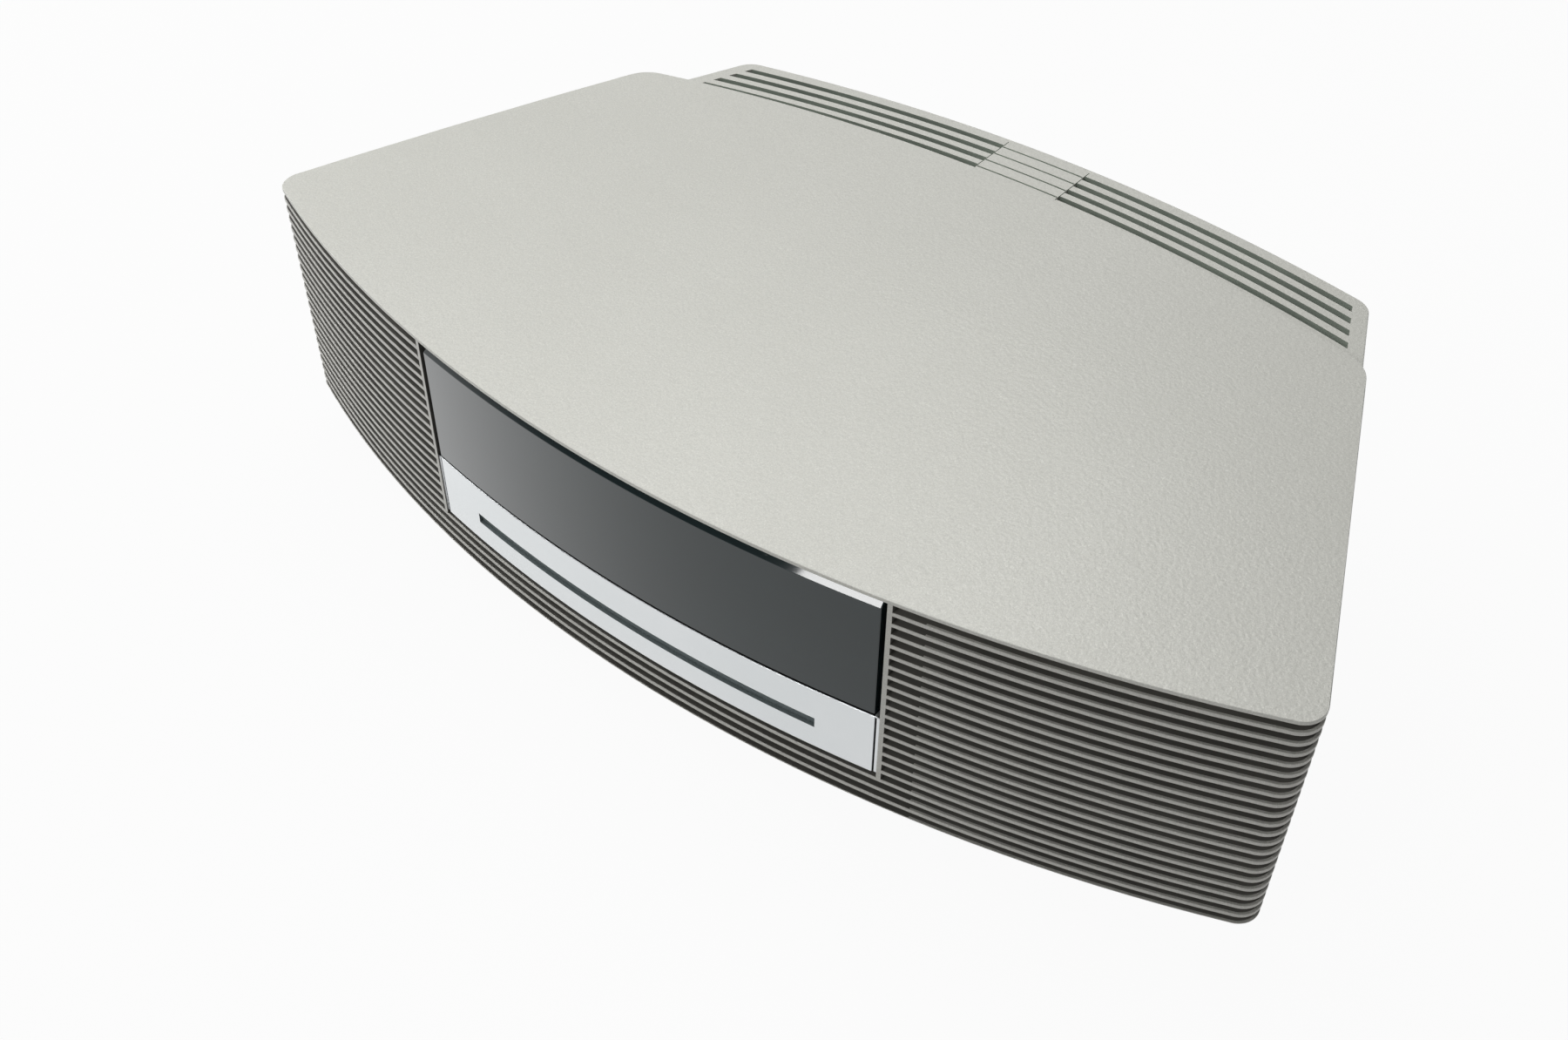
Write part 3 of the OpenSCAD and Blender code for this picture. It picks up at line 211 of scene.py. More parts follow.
def platinumPaint(name, size=platinum, grainScale=1.0):
    # light metallic paint over a leather grain moulded into the plastic
    f = Finish(name)
    cloudy = f.noise(60, 3)
    grain = f.cells(size["grain"] * grainScale) * 0.7 + f.noise(size["grain"] * 0.6 * grainScale, 3) * 0.6
    flecks, specks = f.noise(size["fleck"], 1, 0.4), f.noise(size["grain"] * 0.45, 2, 0.7)
    tone = f.mix(cloudy.between(0.35, 0.65), size["dark"], size["light"])
    tone = f.mix(specks.between(0.35, 0.62, 0.6, 0), tone, tuple(c * 0.86 for c in size["dark"]))
    speckled = f.mix(flecks.between(0.55, 0.75, 0, 0.5), tone, tuple(c * 1.3 for c in size["light"]))
    relief = f.bump(flecks, size["fleckDepth"], f.bump(grain, size["grainDepth"] * grainScale))
    return f.surface(Base_Color=speckled, Metallic=0.15, Roughness=flecks.between(0.3, 0.7, size["roughness"] + 0.06,
                     size["roughness"] - 0.08), Normal=relief)


def mouldedPlastic(name, colour, roughness=0.5, grain=0.5, depth=0.012, variation=0.12):
    # plain moulded plastic or rubber: fine spark grain, faint clouding and handling marks
    f = Finish(name)
    cloudy = f.noise(25, 4)
    fine = f.noise(grain, 2)
    tone = f.mix(cloudy.between(0.3, 0.7), tuple(c * (1 - variation) for c in colour),
                 tuple(min(1, c * (1 + variation)) for c in colour))
    rough = cloudy.between(0.3, 0.7, roughness - 0.05, roughness + 0.07)
    return f.surface(Base_Color=tone, Roughness=rough, Normal=f.bump(fine, depth))


def metal(name, colour, roughness=0.35, run=(1, 1, 1), grain=0.25, depth=0.004):
    # metal with rolling or turning marks along run
    f = Finish(name)
    marks = f.noise(grain, 3, 0.6, run)
    cloudy = f.noise(18, 3)
    tone = f.mix(cloudy.between(0.3, 0.7), tuple(c * 0.86 for c in colour), colour)
    rough = marks.between(0.25, 0.75, roughness - 0.08, roughness + 0.1)
    return f.surface(Base_Color=tone, Metallic=1.0, Roughness=rough, Normal=f.bump(marks, depth))


print("finishes ready")


# ---------- housing outline ----------
housing = {                       # mm and degrees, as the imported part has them
    "width": 366, "frontRadius": 479, "rearRadius": 531.6, "taper": 21, "solidCorner": 13,
    "frontCorner": 7, "rearCorner": 8, "coverCorner": 12, "terrace": 35,
}
yFront, yRear = lowest("ribbed_wrap").y, highest("ribbed_wrap").y
zShell, zLip = lowest("ribbed_wrap").z, highest("ribbed_wrap").z
zDeck = highest("vent_grille").z
zTop = highest("top_cover").z
taper = math.radians(housing["taper"])
sideNormal = Vector((math.cos(taper), math.sin(taper), 0))
sideRun = Vector((-math.sin(taper), math.cos(taper), 0))
frontCentre = Vector((0, yFront + housing["frontRadius"], 0))
rearCentre = Vector((0, yRear - housing["rearRadius"], 0))


def solidSide():
    # distance of the solid's side line, which touches its own larger corner at the full width
    corner = housing["solidCorner"]
    x, reach = housing["width"] / 2 - corner, housing["frontRadius"] - corner
    return Vector((x, frontCentre.y - math.sqrt(reach ** 2 - x ** 2), 0)).dot(sideNormal) + corner


sideReach = solidSide()


def cornerPlace(corner, centre, reach, way):
    # middle of a corner between the side line and an arc, at the front (-1) or the back (1)
    start = sideNormal * (sideReach - corner)
    offset = start - centre
    along = offset.dot(sideRun)
    return start + sideRun * (-along + way * math.sqrt(along ** 2 - offset.length_squared + reach ** 2))


def rearCornerPlace(corner, cut):
    return cornerPlace(corner, rearCentre, housing["rearRadius"] - cut - corner, 1)


frontCorner = cornerPlace(housing["frontCorner"], frontCentre, housing["frontRadius"] - housing["frontCorner"], -1)
coverCornerY = rearCornerPlace(housing["coverCorner"], housing["terrace"]).y


def insetOf(place):
    # how far a point of the front half lies inside the outline
    plan = Vector((abs(place.x), place.y, 0))
    fromCorner = plan - frontCorner
    if fromCorner.dot(sideRun) > 0:
        return sideReach - plan.dot(sideNormal)
    if up.cross(frontCorner - frontCentre).dot(fromCorner) < 0:
        return housing["frontRadius"] - (plan - frontCentre).length
    return housing["frontCorner"] - fromCorner.length


def turned(bm, ends, centre, angle, fineness=1.1):
    steps = max(1, math.ceil(abs(angle) / fineness))
    return bmesh.ops.spin(bm, geom=ends, cent=centre, axis=up, angle=math.radians(angle),
                          steps=steps)["geom_last"]


def carried(bm, ends, move):
    edges = [g for g in ends if isinstance(g, bmesh.types.BMEdge)]
    made = bmesh.ops.extrude_edge_only(bm, edges=edges)["geom"]
    verts = [g for g in made if isinstance(g, bmesh.types.BMVert)]
    bmesh.ops.translate(bm, verts=verts, vec=move)
    known = set(verts)
    return verts + [g for g in made if isinstance(g, bmesh.types.BMEdge) and set(g.verts) <= known]


def wholeOutline(bm, section, corner, cut=0, frontStops=(), sideStops=()):
    # carries a section from the middle of the front round the right side to the middle of the back, then mirrors it
    rear = rearCornerPlace(corner, cut)
    frontTurn = math.degrees(math.atan2(frontCorner.x, frontCentre.y - frontCorner.y))
    rearTurn = math.degrees(math.atan2(rear.x, rear.y - rearCentre.y))
    ends, done = section, 0
    for stop in [*(math.degrees(math.asin(x / housing["frontRadius"])) for x in frontStops), frontTurn]:
        ends = turned(bm, ends, frontCentre, stop - done)
        done = stop
    ends = turned(bm, ends, frontCorner, 90 - frontTurn + housing["taper"], 6)
    here = (frontCorner + sideNormal * housing["frontCorner"]).y
    for y in [*sideStops, (rear + sideNormal * corner).y]:
        ends = carried(bm, ends, sideRun * ((y - here) / sideRun.y))
        here = y
    ends = turned(bm, ends, rear, 90 - rearTurn - housing["taper"], 6)
    turned(bm, ends, rearCentre, rearTurn)
    bmesh.ops.mirror(bm, geom=bm.verts[:] + bm.edges[:] + bm.faces[:], axis="X", merge_dist=0.002)
    bmesh.ops.remove_doubles(bm, verts=bm.verts[:], dist=0.002)


def sectionFace(bm, corners, rounds):
    # a face in the middle plane from (inset, height) corners; rounds maps a radius to the corners it rounds
    verts = [bm.verts.new((0, yFront + inset, z)) for inset, z in corners]
    face = bm.faces.new(verts)
    for radius, which in rounds.items():
        bmesh.ops.bevel(bm, geom=[verts[i] for i in which], offset=radius, segments=3, profile=0.5,
                        affect="VERTICES", material=-1)
    return bm.faces[:]


def sectionWire(bm, corners, rounds, openAt=None):
    # the same section as a wire, opened between the two corners at the heights in openAt
    bmesh.ops.delete(bm, geom=sectionFace(bm, corners, rounds), context="FACES_ONLY")
    if openAt:
        gap = [e for e in bm.edges if {round(v.co.z, 3) for v in e.verts} == {round(z, 3) for z in openAt}]
        bmesh.ops.delete(bm, geom=gap, context="EDGES")
    return bm.verts[:] + bm.edges[:]


def fillOpenLoops(bm):
    bmesh.ops.edgeloop_fill(bm, edges=[e for e in bm.edges if e.is_boundary])


def makePiece(name, bm, finishes, replaced=(), body="housing", sharp=35):
    bmesh.ops.recalc_face_normals(bm, faces=bm.faces[:])
    bmesh.ops.scale(bm, vec=(mm, mm, mm), verts=bm.verts[:])
    mesh = bpy.data.meshes.new(name)
    bm.to_mesh(mesh)
    bm.free()
    piece = bpy.data.objects.new(name, mesh)
    scene.collection.objects.link(piece)
    for finish in finishes:
        mesh.materials.append(finish)
    shaded(mesh, sharp)
    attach(piece, body)
    if replaced:
        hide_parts(*replaced)
    return piece


def shaded(mesh, sharp):
    mesh.shade_smooth()
    mesh.set_sharp_from_angle(angle=math.radians(sharp))


def evened(piece):
    # large faces set the shading, so that small rounds don't bend it
    piece.modifiers.new("normals", "WEIGHTED_NORMAL").keep_sharp = True
    applied(piece)


def cutAway(piece, bm, sharp=35):
    # takes the solids in bm out of the piece
    bmesh.ops.recalc_face_normals(bm, faces=bm.faces[:])
    bmesh.ops.scale(bm, vec=(mm, mm, mm), verts=bm.verts[:])
    mesh = bpy.data.meshes.new("cutter")
    bm.to_mesh(mesh)
    bm.free()
    for finish in piece.data.materials:
        mesh.materials.append(finish)
    cutter = bpy.data.objects.new("cutter", mesh)
    scene.collection.objects.link(cutter)
    cut = piece.modifiers.new("cut", "BOOLEAN")
    cut.object, cut.operation, cut.solver = cutter, "DIFFERENCE", "EXACT"
    applied(piece)
    bpy.data.objects.remove(cutter)
    bpy.data.meshes.remove(mesh)
    shaded(piece.data, sharp)


def applied(piece):
    # bakes the piece's modifiers into its mesh
    bpy.context.view_layer.update()
    done = bpy.data.meshes.new_from_object(piece.evaluated_get(bpy.context.evaluated_depsgraph_get()))
    piece.modifiers.clear()
    piece.data = done


def addBox(bm, low, high, material=0):
    made = bmesh.ops.create_cube(bm, size=1)["verts"]
    low, high = Vector(low), Vector(high)
    bmesh.ops.scale(bm, vec=high - low, verts=made)
    bmesh.ops.translate(bm, vec=(low + high) / 2, verts=made)
    for face in {f for v in made for f in v.link_faces}:
        face.material_index = material


# ---------- ribbed wrap ----------
wrap = {
    "count": 21, "pitch": 3.83, "groove": 2.62, "depth": 2.6, "wall": 4.4, "raised": 0.7,    # mm
    # painted: how deep the ribs' paint reaches on each shelf before the painted groove shade starts
    "topRound": 0.22, "underRound": 0.12, "painted": 0.8,
    "opening": 84.9, "postEnd": 86.3, "window": (98.7, 156.7), "through": 3,
    "bay": (75, 26, 60), "plainFrom": 84.62, "edge": 0.3,
}
grooveFloors = [zLip - i * wrap["pitch"] - wrap["groove"] for i in range(wrap["count"])]
zOpening = grooveFloors[wrap["count"] - wrap["through"] - 1]
zBase = zShell + wrap["raised"]
# the ribs' copy of the platinum paint is a little darker and warmer than the cover's: painted shade on the upright ribs
paint = platinumPaint("platinum_ribs_shaded", {**platinum, "light": (0.56, 0.555, 0.515), "dark": (0.54, 0.535, 0.495)}, 0.7)
# painted shade: a dark colour for the grooves' shelves, undersides and floors and for the opening's sill and walls,
# which lie in shade
grooveShade = mouldedPlastic("groove_plastic", (0.12, 0.115, 0.103), 0.6, 0.4, 0.02)


def wrapCorners():
    # down the outside from the top lip, rib by rib, then back up the inner wall
    deep = wrap["depth"]
    corners, tops, unders = [(deep, zLip)], [], []
    for i, floor in enumerate(grooveFloors):
        # each shelf keeps the ribs' paint out to the painted depth and takes the painted groove shade beyond it
        corners += [(deep, floor), (wrap["painted"], floor), (0, floor)]
        tops.append(len(corners) - 1)
        below = zBase if i == len(grooveFloors) - 1 else grooveFloors[i + 1] + wrap["groove"]
        corners.append((0, below))
        unders.append(len(corners) - 1)
        if below > zBase:
            corners.append((deep, below))
    corners += [(wrap["wall"], zBase), (wrap["wall"], zLip)]
    return corners, {wrap["topRound"]: tops, wrap["underRound"]: unders}


def inPost(place):
    return place.y < 0 and wrap["opening"] - 0.2 < abs(place.x) < wrap["postEnd"] + 0.05


def wrapShell():
    bm = bmesh.new()
    section = sectionWire(bm, *wrapCorners())
    wholeOutline(bm, section, housing["rearCorner"],
                 frontStops=(wrap["opening"] - 0.3, wrap["opening"] - 0.1, wrap["postEnd"], wrap["postEnd"] + 0.12),
                 sideStops=(wrap["plainFrom"] - 0.12, wrap["plainFrom"]))
    deep = wrap["depth"] + 0.01
    for vert in bm.verts:
        spot = vert.co.copy()
        flat = Vector((spot.x, spot.y, 0))
        fromFront = housing["frontRadius"] - (flat - frontCentre).length
        plan = Vector((abs(spot.x), spot.y, 0))
        fromSide = sideReach - plan.dot(sideNormal)
        onPost = spot.z > zOpening - 0.6 and fromFront < deep and inPost(
            frontCentre + (flat - frontCentre).normalized() * housing["frontRadius"])
        if onPost:
            vert.co = (frontCentre + (flat - frontCentre).normalized() * housing["frontRadius"]) + up * spot.z
        elif spot.y > wrap["plainFrom"] - 1.2:
            pushOut(vert, plan, fromSide, deep)
    bmesh.ops.remove_doubles(bm, verts=bm.verts[:], dist=0.002)
    bmesh.ops.dissolve_degenerate(bm, edges=bm.edges[:], dist=0.002)
    for face in bm.faces:
        face.material_index = 1 if inGrooveShade(face) else 0
    piece = makePiece("wrap_shell", bm, [paint, grooveShade], ["ribbed_wrap"])
    cutAway(piece, wrapCutters())
    evened(piece)
    return piece


rearCorner = rearCornerPlace(housing["rearCorner"], 0)


def pushOut(vert, plan, fromSide, deep):
    # behind the last grooves the outside is plain: fills the grooves out to the outline
    side = 1 if vert.co.x >= 0 else -1
    onSide = (plan - rearCorner).dot(sideRun) <= 0.001
    if onSide:
        lastGroove = plan + sideNormal * fromSide
        if fromSide < deep and lastGroove.y > wrap["plainFrom"] - 0.05:
            vert.co = Vector((side * lastGroove.x, lastGroove.y, vert.co.z))
        return
    fromCorner = plan - rearCorner
    spread = math.atan2(fromCorner.y, fromCorner.x)
    rearTurn = math.atan2(rearCorner.y - rearCentre.y, rearCorner.x)
    if spread < rearTurn:
        centre, radius = rearCorner, housing["rearCorner"]
    else:
        centre, radius = rearCentre, housing["rearRadius"]
    arm = plan - centre
    if radius - arm.length < deep:
        out = centre + arm.normalized() * radius
        vert.co = Vector((side * out.x, out.y, vert.co.z))


def inGrooveShade(face):
    # faces that take the painted groove shade: undersides, shelves deeper than the painted depth, and groove floors
    middle = face.calc_center_median()
    if abs(face.normal.z) > 0.985:
        return face.normal.z < 0 or insetOf(middle) > wrap["painted"]
    within = any(floor + 0.05 < middle.z < floor + wrap["groove"] - 0.05 for floor in grooveFloors)
    flat = Vector((middle.x, middle.y, 0))
    plain = middle.y > wrap["plainFrom"] - 0.06 or (inPost(
        frontCentre + (flat - frontCentre).normalized() * housing["frontRadius"]) and middle.z > zOpening - 0.3)
    return within and not plain


def wrapCutters():
    bm = bmesh.new()
    half, bay, far = wrap["opening"], wrap["bay"], 400
    # the opening's sill and walls, and the other cut faces given 1, take the painted groove shade
    addBox(bm, (-half, yFront - 1, zOpening + 0.01), (half, yFront + 30, zLip + 5), 1)
    addBox(bm, (-bay[0], 60, bay[1]), (bay[0], far, bay[2]))
    addBox(bm, (-far, coverCornerY, grooveFloors[1] + wrap["groove"]), (far, far, zLip + 5), 1)
    first, last = wrap["window"]
    for floor in grooveFloors[1:-1]:
        for low, high in ((first, last), (-last, -first)):
            addBox(bm, (low, yFront - 1, floor + 0.2), (high, yFront + 40, floor + wrap["groove"] - 0.2), 1)
    return bm


wrapPiece = wrapShell()
print("wrap shell:", len(wrapPiece.data.polygons), "faces")


# ---------- top cover ----------
cover = {
    "lip": 1.05, "crownLine": 165, "thickness": 2.6, "seat": 6.2, "edge": 0.25,
    "rim": 3, "strip": 7.5, "across": 15,                                      # mm
}
zFront = zLip + cover["lip"]
crownRise = zTop - zFront
crownRadius = (cover["crownLine"] ** 2 + crownRise ** 2) / (2 * crownRise)
coverPaint = platinumPaint("platinum_cover")


def crownAt(place):
    # the top rises evenly from its curved front edge
    plan = Vector((place.x, place.y, 0))
    inset = max(0, housing["frontRadius"] - (plan - frontCentre).length)
    return math.sqrt(crownRadius ** 2 - (inset - cover["crownLine"]) ** 2) - crownRadius + crownRise


def coverShell():
    bm = bmesh.new()
    seat, ceiling = cover["seat"], zFront - cover["thickness"]
    corners = [(seat, ceiling), (seat, zLip), (0, zLip), (0, zFront), (cover["rim"], zFront)]
    section = sectionWire(bm, corners, {cover["edge"]: [3]}, (zFront, ceiling))
    wholeOutline(bm, section, housing["coverCorner"], housing["terrace"],
                 sideStops=(coverCornerY - 0.05, coverCornerY + 0.05))
    fillOpenLoops(bm)
    strips = [(0, yFront + cover["strip"] * i, 0) for i in range(1, 27)]
    columns = [(cover["across"] * i, 0, 0) for i in range(-12, 13)]
    for cuts, way, least in ((strips, (0, 1, 0), 300), (columns, (1, 0, 0), 100)):
        for cut in cuts:
            caps = [f for f in bm.faces if abs(f.normal.z) > 0.9 and f.calc_area() > least]
            geom = set(caps) | {e for f in caps for e in f.edges} | {v for f in caps for v in f.verts}
            bmesh.ops.bisect_plane(bm, geom=list(geom), plane_co=cut, plane_no=way)
    for vert in bm.verts:
        place = vert.co
        if abs(place.z - zLip) > 0.01:
            place.z += crownAt(place)
            continue
        fromSide = sideReach - Vector((abs(place.x), place.y, 0)).dot(sideNormal)
        outside = place.y + (fromSide * sideNormal.y if fromSide < seat + 0.1 else 0)
        if outside > coverCornerY:
            place.z = zDeck
    piece = makePiece("cover_shell", bm, [coverPaint], ["top_cover"])
    evened(piece)
    return piece


coverPiece = coverShell()
print("cover:", len(coverPiece.data.polygons), "faces")


# ---------- vent deck ----------
deck = {
    "thickness": 2.6, "inner": 4.6, "edge": 0.5, "rim": 4,
    "slots": 5, "first": 5.9, "pitch": 5.35, "width": 2.5, "bridge": 16, "margin": 5,
    "fine": 0.7, "fineDepth": 0.5, "seam": 0.3, "soft": 0.22,                  # mm
}
# painted shade: a darker green-grey for the slots' long walls, the fine grooves and the bridge seams, which lie in
# shade
ventShadeGrey = mouldedPlastic("vent_throat_shade", (0.34, 0.385, 0.33), 0.6, 0.4, 0.01)


def trimmed(bm, at, away, geom=None):
    # cuts off what lies beyond a plane and closes the cut
    geom = geom or bm.verts[:] + bm.edges[:] + bm.faces[:]
    cut = bmesh.ops.bisect_plane(bm, geom=geom, plane_co=at, plane_no=away, clear_outer=True)["geom_cut"]
    edges = [g for g in cut if isinstance(g, bmesh.types.BMEdge)]
    return bmesh.ops.edgeloop_fill(bm, edges=edges)["faces"]


def arcBar(bm, centre, near, far, low, high, start, angle, material=0):
    # a bar of rectangular section, spun about an upright axis from the direction start
    direction = Vector((math.cos(math.radians(start)), math.sin(math.radians(start)), 0))
    verts = [bm.verts.new(centre + direction * r + up * z)
             for r, z in ((near, low), (far, low), (far, high), (near, high))]
    face = bm.faces.new(verts)
    known = set(bm.faces)
    turned(bm, [face, *face.edges, *face.verts], centre, angle)
    made = (set(bm.faces) - known) | {face}
    for face in made:
        face.material_index = material
    return made


def ventCutters():
    bm = bmesh.new()
    bridge, half = deck["bridge"], deck["width"] / 2
    for i in range(deck["slots"]):
        radius = housing["rearRadius"] - deck["first"] - i * deck["pitch"]
        for side in (-1, 1):
            one = bmesh.new()
            arcBar(one, rearCentre, radius - half, radius + half, zDeck - 6, zDeck + 1, 90, -side * 16, 1)
            ends = trimmed(one, (side * bridge, 0, 0), (-side, 0, 0))
            reach = (sideReach - deck["margin"]) * sideNormal
            ends += trimmed(one, (side * reach.x, reach.y, 0), (side * sideNormal.x, sideNormal.y, 0))
            # the slot ends keep the deck's paint; the long walls take the painted shade
            for face in ends:
                face.material_index = 0
            joined(bm, one)
        fine = bmesh.new()
        arcBar(fine, rearCentre, radius - deck["fine"] / 2, radius + deck["fine"] / 2,
               zDeck - deck["fineDepth"], zDeck + 1, 91.8, -3.6, 1)
        for side in (-1, 1):
            trimmed(fine, (side * (bridge - 0.1), 0, 0), (side, 0, 0))
        joined(bm, fine)
    return bm


def bridgeSeams():
    # the bridge is an insert: a fine joint crosses the slats at each end of it
    bm = bmesh.new()
    near = housing["rearRadius"] - deck["first"] - deck["slots"] * deck["pitch"]
    for side in (-1, 1):
        x, half = side * (deck["bridge"] + deck["seam"] / 2 + 0.05), deck["seam"] / 2
        addBox(bm, (x - half, rearCentre.y + near, zDeck - deck["fineDepth"]), (x + half, yRear - 2.2, zDeck + 1), 1)
    return bm


def joined(bm, other):
    # adds one mesh to another
    mesh = bpy.data.meshes.new("joined")
    other.to_mesh(mesh)
    other.free()
    bm.from_mesh(mesh)
    bpy.data.meshes.remove(mesh)


def ventDeck():
    bm = bmesh.new()
    bottom, seat = zDeck - deck["thickness"], grooveFloors[1] + wrap["groove"]
    corners = [(deck["inner"], bottom), (deck["inner"], seat), (0, seat), (0, zDeck), (deck["rim"], zDeck)]
    section = sectionWire(bm, corners, {deck["edge"]: [3]}, (zDeck, bottom))
    wholeOutline(bm, section, housing["rearCorner"])
    fillOpenLoops(bm)
    trimmed(bm, (0, coverCornerY, 0), (0, -1, 0))
    piece = makePiece("vent_deck", bm, [coverPaint, ventShadeGrey], ["vent_grille"])
    cutAway(piece, ventCutters())
    cutAway(piece, bridgeSeams())
    soften(piece, deck["soft"], 50)
    return piece


def soften(piece, width, limit, segments=2):
    # a small round on every edge sharper than limit
    round_ = piece.modifiers.new("soft_edges", "BEVEL")
    round_.width, round_.segments, round_.limit_method = width * mm, segments, "ANGLE"
    round_.angle_limit = math.radians(limit)
    applied(piece)
    shaded(piece.data, 30)
    evened(piece)


deckPiece = ventDeck()
print("vent deck:", len(deckPiece.data.polygons), "faces")


# ---------- display lens and disc fascia ----------
front = {
    "proud": 0.25, "thickness": 3.2, "chamfer": 1.6, "crisp": 0.12, "lensEnd": 0.3,
    "lensHalf": 83.2, "lensDrop": 0.4, "fasciaHalf": 83.3, "fasciaEdge": 0.28, "seamDrop": 0.5,
    "strip": 1, "stripFrom": 0.35, "capHeight": 0.5,
    "slotHalf": 65.6, "slotHeight": 3.6, "slotLevel": 9.8, "slotSoft": 0.12,
    "feltGap": 0.3, "feltDepth": (1.5, 5.9), "feltHalf": 65.5, "reflectionFade": (-100, 50),      # mm
}


def frontBar(corners, rounds, half, endRound=0.0, material=0):
    # a section carried along the bowed front between x = -half and x = half
    bm = bmesh.new()
    sectionFace(bm, corners, rounds)
    span = math.degrees(math.asin((half + 4) / housing["frontRadius"]))
    bmesh.ops.rotate(bm, cent=frontCentre, matrix=Matrix.Rotation(math.radians(-span), 3, "Z"), verts=bm.verts[:])
    turned(bm, bm.verts[:] + bm.edges[:] + bm.faces[:], frontCentre, 2 * span, 0.5)
    ends = []
    for side in (-1, 1):
        ends += trimmed(bm, (side * half, 0, 0), (side, 0, 0))
    if endRound:
        bmesh.ops.bevel(bm, geom=list({e for f in ends for e in f.edges}), offset=endRound, segments=3,
                        profile=0.5, affect="EDGES", material=-1)
    for face in bm.faces:
        face.material_index = material
    return bm


def smokedLens(name):
    # glossy smoked acrylic: fine polishing ripple, faint dust and a slightly greener heart
    f = Finish(name)
    dust = f.noise(0.7, 2).between(0.7, 0.78)
    wipe = f.noise(14, 4, 0.6, (3, 1, 1))
    tone = f.mix(wipe.between(0.3, 0.7), (0.007, 0.019, 0.021), (0.009, 0.023, 0.025))
    dusty = f.mix(dust * 0.12, tone, (0.06, 0.07, 0.07))
    rough = wipe.between(0.3, 0.7, 0.03, 0.07) + dust * 0.15
    # the clear coat thins out from the left end of the lens to the right: a painted reflection that makes the left end
    # shine brighter
    across = f.node("ShaderNodeSeparateXYZ", {}, {0: f.place})
    leftReflection = across.between(*(x * mm for x in front["reflectionFade"]), 0.72, 0.0)
    return f.surface(Base_Color=dusty, Roughness=rough, IOR=1.52, Coat_Weight=leftReflection, Coat_Roughness=0.04,
                     Normal=f.bump(wipe, 0.0015))


def satinSilver(name):
    # bright silver lacquer on a smooth moulding
    f = Finish(name)
    cloudy, fleck = f.noise(35, 3), f.noise(0.16, 1)
    tone = f.mix(cloudy.between(0.35, 0.65), (0.77, 0.80, 0.81), (0.80, 0.825, 0.835))
    tone = f.mix(fleck.between(0.6, 0.8, 0, 0.3), tone, (0.9, 0.91, 0.91))
    rough = cloudy.between(0.3, 0.7, 0.3, 0.36)
    return f.surface(Base_Color=tone, Metallic=0.65, Roughness=rough, Normal=f.bump(fleck, 0.003))


def felt(name, colour):
    f = Finish(name)
    fibres, clumps = f.noise(0.12, 3, 0.7, (3, 1, 1)), f.noise(0.9, 3)
    tone = f.mix(fibres.between(0.3, 0.75), tuple(c * 0.6 for c in colour), tuple(c * 1.35 for c in colour))
    return f.surface(Base_Color=f.mix(clumps.between(0.35, 0.7, 0, 0.35), tone, tuple(c * 0.7 for c in colour)),
                     Roughness=0.95, Normal=f.bump(fibres + clumps * 0.5, 0.08))


lensFinish, silver = smokedLens("smoked_lens"), satinSilver("satin_silver")
lensCarrier = mouldedPlastic("lens_carrier", (0.012, 0.012, 0.013), 0.5, 0.4, 0.015)
slotFelt = felt("slot_felt", (0.2, 0.24, 0.245))


def displayLens():
    low, high = lowest("display_lens").z - front["seamDrop"], highest("display_lens").z - front["lensDrop"]
    back, face, chamfer = front["thickness"], front["proud"], front["chamfer"]
    corners = [(back, low), (face, low), (face, high - chamfer), (face + chamfer, high), (back, high)]
    bm = frontBar(corners, {front["crisp"]: [1, 2, 3]}, front["lensHalf"], front["lensEnd"])
    piece = makePiece("lens", bm, [lensFinish], ["display_lens"], sharp=25)
    evened(piece)
    return piece


def discFascia():
    low, high = lowest("disc_fascia").z, highest("disc_fascia").z - front["seamDrop"]
    back, face = front["thickness"], front["proud"]
    bm = frontBar([(back, low), (face, low), (face, high), (back, high)], {front["fasciaEdge"]: [1, 2]},
                  front["fasciaHalf"], front["fasciaEdge"])
    for face in bm.faces:
        middle = face.calc_center_median()
        depth = housing["frontRadius"] - (Vector((middle.x, middle.y, 0)) - frontCentre).length
        if depth > front["proud"] + front["fasciaEdge"] + 0.05:
            face.material_index = 2
    piece = makePiece("fascia", bm, [silver, slotFelt, lensCarrier], ["disc_fascia"])
    middle, half = low + front["slotLevel"], front["slotHeight"] / 2
    slot = frontBar([(back + 1, middle - half), (-1, middle - half), (-1, middle + half), (back + 1, middle + half)],
                    {}, front["slotHalf"], material=1)
    cutAway(piece, slot)
    soften(piece, front["slotSoft"], 60)
    return piece


def feltLips():
    # two strips of felt whose nap meets round the disc
    middle = lowest("disc_fascia").z + front["slotLevel"]
    near, far = front["feltDepth"]
    gap, reach = front["feltGap"] / 2, front["slotHeight"] / 2 - 0.05
    bm = bmesh.new()
    for low, high in ((middle - reach, middle - gap), (middle + gap, middle + reach)):
        joined(bm, frontBar([(far, low), (near, low), (near, high), (far, high)], {0.15: [0, 1, 2, 3]},
                            front["feltHalf"]))
    return makePiece("felt_lips", bm, [slotFelt], ["slot_felt"])


def sideStrips():
    # bright returns of the fascia beside it in the opening, each with a cap across the gap
    low, high = lowest("disc_fascia").z, highest("disc_fascia").z - front["seamDrop"]
    near, back, wall = front["stripFrom"], front["thickness"], wrap["opening"]
    bm = bmesh.new()
    for side in (-1, 1):
        for inner, foot in ((wall - front["strip"], low + 0.3), (front["fasciaHalf"] - 0.3, high - front["capHeight"])):
            bar = frontBar([(back, foot), (near, foot), (near, high), (back, high)], {0.12: [1, 2]}, wall + 0.1)
            trimmed(bar, (side * inner, 0, 0), (-side, 0, 0))
            joined(bm, bar)
    piece = makePiece("side_strips", bm, [silver])
    return piece


lensPiece, fasciaPiece, feltPiece, stripPiece = displayLens(), discFascia(), feltLips(), sideStrips()
print("front pieces ready")


